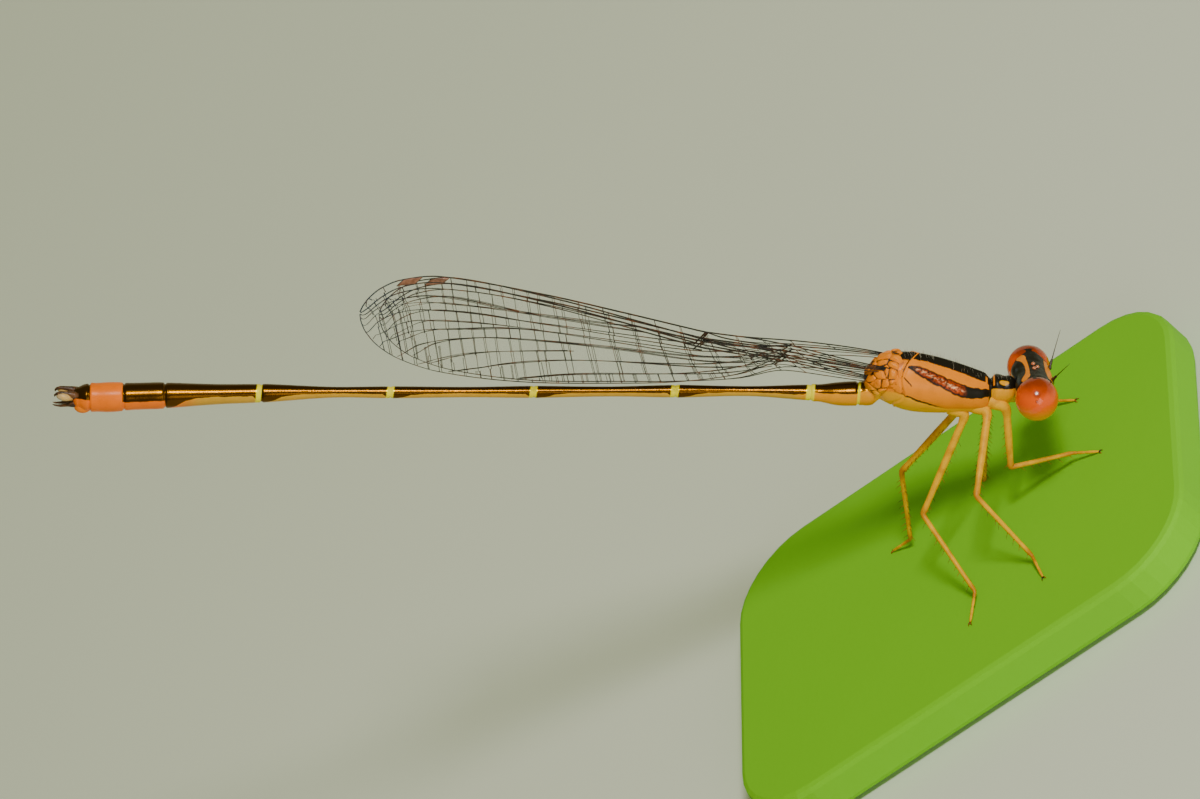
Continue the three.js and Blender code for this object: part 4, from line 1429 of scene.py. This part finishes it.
# Pale hairs along the back of the neck and thorax.
def build_hairs():
    """Fine pale hairs, standing out from the back of the neck and thorax."""
    levels, heights, widths = body_profile()
    chance = random.Random(7)
    longest = sizes().hair / MM
    paths = []
    for _ in range(HAIR_COUNT):
        x = chance.uniform(-2.2, 1.7)
        angle = math.radians(chance.uniform(-34, 34))
        out = Vector((0, -math.sin(angle), math.cos(angle)))
        across = along(widths, x) * narrowing(angle)
        root = Vector((x, out.y * across, along(levels, x) + out.z * along(heights, x)))
        reach = longest * chance.uniform(0.5, 1.0)
        lean = Vector((chance.uniform(-0.5, 0.1), chance.uniform(-0.3, 0.3), 0))
        tip = root + (out + lean).normalized() * reach
        paths.append([(root - out * 0.03, 0.004), (root.lerp(tip, 0.6), 0.0035), (tip, 0.0015)])
    finish = Finish("Pale hair", Specular_IOR_Level=0.5)
    tone = finish.blend(finish.noise(6.0), (0.6, 0.52, 0.4), (0.8, 0.76, 0.68))
    settle(strands("thorax_hairs", paths), finish.base(tone, 0.4))


# The base and the stage.
def build_base():
    """Satin green finish on the base's own solid."""
    finish = Finish("Satin base", Matrix(), Specular_IOR_Level=0.15)
    cloud = finish.noise(160.0, 4.0)
    grain = finish.noise(5200.0)
    tone = finish.blend(finish.times(cloud, 0.35), colours().base, (0.26, 0.7, 0.02))
    rough = finish.plus(0.55, finish.times(cloud, 0.16))
    material = finish.base(tone, rough, finish.relief(grain, 0.25, 0.03))
    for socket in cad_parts["stand_base"].material_slots:
        socket.material = material


def build_floor():
    """A plain pale floor just under the base."""
    bpy.ops.object.select_all(action="DESELECT")
    bpy.ops.mesh.primitive_circle_add(vertices=64, radius=3.0, fill_type="NGON", location=(0, 0, -0.0002))
    floor = bpy.context.object
    floor.name = "floor"
    finish = Finish("Pale floor", Matrix(), Roughness=0.8, Specular_IOR_Level=0.1)
    tone = finish.blend(finish.noise(30.0), (0.84, 0.88, 0.78), (0.88, 0.92, 0.82))
    floor.data.materials.append(finish.base(tone))


def aim_camera(right, up, look):
    """A camera that looks across the insect from its right and above."""
    u, w = VIEW_CENTRE
    centre = TO_ROW @ Vector((u, 0, w / math.cos(VIEW_LIFT)))
    bpy.ops.object.camera_add(location=centre - look * VIEW_BACK * MM)
    camera = bpy.context.object
    camera.rotation_euler = Matrix((right, up, -look)).transposed().to_euler()
    camera.data.sensor_width = SENSOR
    camera.data.lens = SENSOR * VIEW_BACK / VIEW_WIDTH
    camera.data.clip_start = 0.01
    camera.data.clip_end = 20.0
    bpy.context.scene.camera = camera


def set_lights(right, up, look):
    """Soft lights on the camera's side, a weak one behind and an even sky."""
    middle = TO_ROW @ Vector((-8, 0, 0))
    lights = (
        ("key", right * -0.02 - look * 0.38 + up * 0.21, 0.08, 1.3, (1.0, 0.97, 0.92)),
        ("fill", right * 0.1 - look * 0.36 - up * 0.1, 0.2, 0.42, (1.0, 0.97, 0.88)),
        ("back", look * 0.3 + up * 0.3 - right * 0.1, 0.3, 0.08, (1.0, 1.0, 0.9)),
    )
    for name, offset, size, power, hue in lights:
        spot_at = middle + offset
        spot_at.z = max(spot_at.z, 0.05)
        bpy.ops.object.light_add(type="AREA", location=spot_at)
        light = bpy.context.object
        light.name = name
        light.data.size = size
        light.data.energy = power
        light.data.color = hue
        light.rotation_euler = (middle - spot_at).to_track_quat("-Z", "Y").to_euler()
    world = bpy.data.worlds.new("Studio")
    world.use_nodes = True
    sky = world.node_tree.nodes["Background"].inputs
    sky[0].default_value = (0.55, 0.62, 0.24, 1.0)
    sky[1].default_value = 0.36
    bpy.context.scene.world = world


def build_stage():
    """Plain pale floor, soft lights and the camera at the photograph's viewing angle."""
    build_floor()
    turn = TO_ROW.to_3x3().normalized()
    look = turn @ Vector((0, math.cos(VIEW_LIFT), -math.sin(VIEW_LIFT)))
    right = turn @ Vector((1, 0, 0))
    up = turn @ Vector((0, math.sin(VIEW_LIFT), math.cos(VIEW_LIFT)))
    aim_camera(right, up, look)
    set_lights(right, up, look)


# Operators, one for each piece or group of like pieces.
class Undoable:
    """Lets an operator be undone and its run be repeated."""

    bl_options = {"REGISTER", "UNDO"}


class DAMSELFLY_OT_stage(Undoable, bpy.types.Operator):
    """Make the floor, lights and camera"""

    bl_idname = "damselfly.stage"
    bl_label = "Stage"

    def execute(self, context):
        build_stage()
        return {"FINISHED"}


class DAMSELFLY_OT_body(Undoable, bpy.types.Operator):
    """Model the skin of the prothorax, thorax and abdomen"""

    bl_idname = "damselfly.body"
    bl_label = "Body"

    def execute(self, context):
        build_body()
        return {"FINISHED"}


class DAMSELFLY_OT_root_plates(Undoable, bpy.types.Operator):
    """Model the collar of small plates round the wing roots"""

    bl_idname = "damselfly.root_plates"
    bl_label = "Wing root plates"

    def execute(self, context):
        build_root_plates()
        return {"FINISHED"}


class DAMSELFLY_OT_head(Undoable, bpy.types.Operator):
    """Model the skin of the head"""

    bl_idname = "damselfly.head"
    bl_label = "Head"

    def execute(self, context):
        build_head()
        return {"FINISHED"}


class DAMSELFLY_OT_ocelli(Undoable, bpy.types.Operator):
    """Model the three simple eyes on the crown"""

    bl_idname = "damselfly.ocelli"
    bl_label = "Simple eyes"

    def execute(self, context):
        build_ocelli()
        return {"FINISHED"}


class DAMSELFLY_OT_eyes(Undoable, bpy.types.Operator):
    """Model both compound eyes"""

    bl_idname = "damselfly.eyes"
    bl_label = "Compound eyes"

    def execute(self, context):
        build_eyes()
        return {"FINISHED"}


class DAMSELFLY_OT_feelers(Undoable, bpy.types.Operator):
    """Model both feelers"""

    bl_idname = "damselfly.feelers"
    bl_label = "Feelers"

    def execute(self, context):
        build_feelers()
        return {"FINISHED"}


class DAMSELFLY_OT_wings(Undoable, bpy.types.Operator):
    """Model the membranes, veins and stigmas of the four wings"""

    bl_idname = "damselfly.wings"
    bl_label = "Wings"

    def execute(self, context):
        build_wings()
        return {"FINISHED"}


class DAMSELFLY_OT_legs(Undoable, bpy.types.Operator):
    """Model the six legs with their bristles and claws"""

    bl_idname = "damselfly.legs"
    bl_label = "Legs"

    def execute(self, context):
        build_legs()
        return {"FINISHED"}


class DAMSELFLY_OT_claspers(Undoable, bpy.types.Operator):
    """Model the claspers at the end of the tail"""

    bl_idname = "damselfly.claspers"
    bl_label = "Claspers"

    def execute(self, context):
        build_claspers()
        return {"FINISHED"}


class DAMSELFLY_OT_tail_lobes(Undoable, bpy.types.Operator):
    """Model the plates below the claspers"""

    bl_idname = "damselfly.tail_lobes"
    bl_label = "Tail lobes"

    def execute(self, context):
        build_tail_lobes()
        return {"FINISHED"}


class DAMSELFLY_OT_hairs(Undoable, bpy.types.Operator):
    """Set the pale hairs on the thorax"""

    bl_idname = "damselfly.hairs"
    bl_label = "Hairs"

    def execute(self, context):
        build_hairs()
        return {"FINISHED"}


class DAMSELFLY_OT_base(Undoable, bpy.types.Operator):
    """Finish the display base"""

    bl_idname = "damselfly.base"
    bl_label = "Base"

    def execute(self, context):
        build_base()
        return {"FINISHED"}


OPERATORS = (
    DAMSELFLY_OT_stage,
    DAMSELFLY_OT_body,
    DAMSELFLY_OT_root_plates,
    DAMSELFLY_OT_head,
    DAMSELFLY_OT_ocelli,
    DAMSELFLY_OT_eyes,
    DAMSELFLY_OT_feelers,
    DAMSELFLY_OT_wings,
    DAMSELFLY_OT_legs,
    DAMSELFLY_OT_claspers,
    DAMSELFLY_OT_tail_lobes,
    DAMSELFLY_OT_hairs,
    DAMSELFLY_OT_base,
)


class DAMSELFLY_PT_panel(bpy.types.Panel):
    """Lists the damselfly's operators in the 3D view's sidebar."""

    bl_label = "Damselfly"
    bl_idname = "DAMSELFLY_PT_panel"
    bl_space_type = "VIEW_3D"
    bl_region_type = "UI"
    bl_category = "Damselfly"

    def draw(self, context):
        for cls in OPERATORS:
            self.layout.operator(cls.bl_idname)


CLASSES = (DamselflySizes, DamselflyColours, *OPERATORS, DAMSELFLY_PT_panel)


def register():
    for cls in CLASSES:
        bpy.utils.register_class(cls)
    bpy.types.Scene.damselfly_sizes = bpy.props.PointerProperty(type=DamselflySizes)
    bpy.types.Scene.damselfly_colours = bpy.props.PointerProperty(type=DamselflyColours)


def unregister():
    del bpy.types.Scene.damselfly_colours
    del bpy.types.Scene.damselfly_sizes
    for cls in reversed(CLASSES):
        bpy.utils.unregister_class(cls)


def main():
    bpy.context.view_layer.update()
    register()
    bpy.ops.damselfly.stage()
    bpy.ops.damselfly.body()
    bpy.ops.damselfly.root_plates()
    bpy.ops.damselfly.head()
    bpy.ops.damselfly.ocelli()
    bpy.ops.damselfly.eyes()
    bpy.ops.damselfly.feelers()
    bpy.ops.damselfly.wings()
    bpy.ops.damselfly.legs()
    bpy.ops.damselfly.claspers()
    bpy.ops.damselfly.tail_lobes()
    bpy.ops.damselfly.hairs()
    bpy.ops.damselfly.base()


if __name__ == "__main__":
    main()
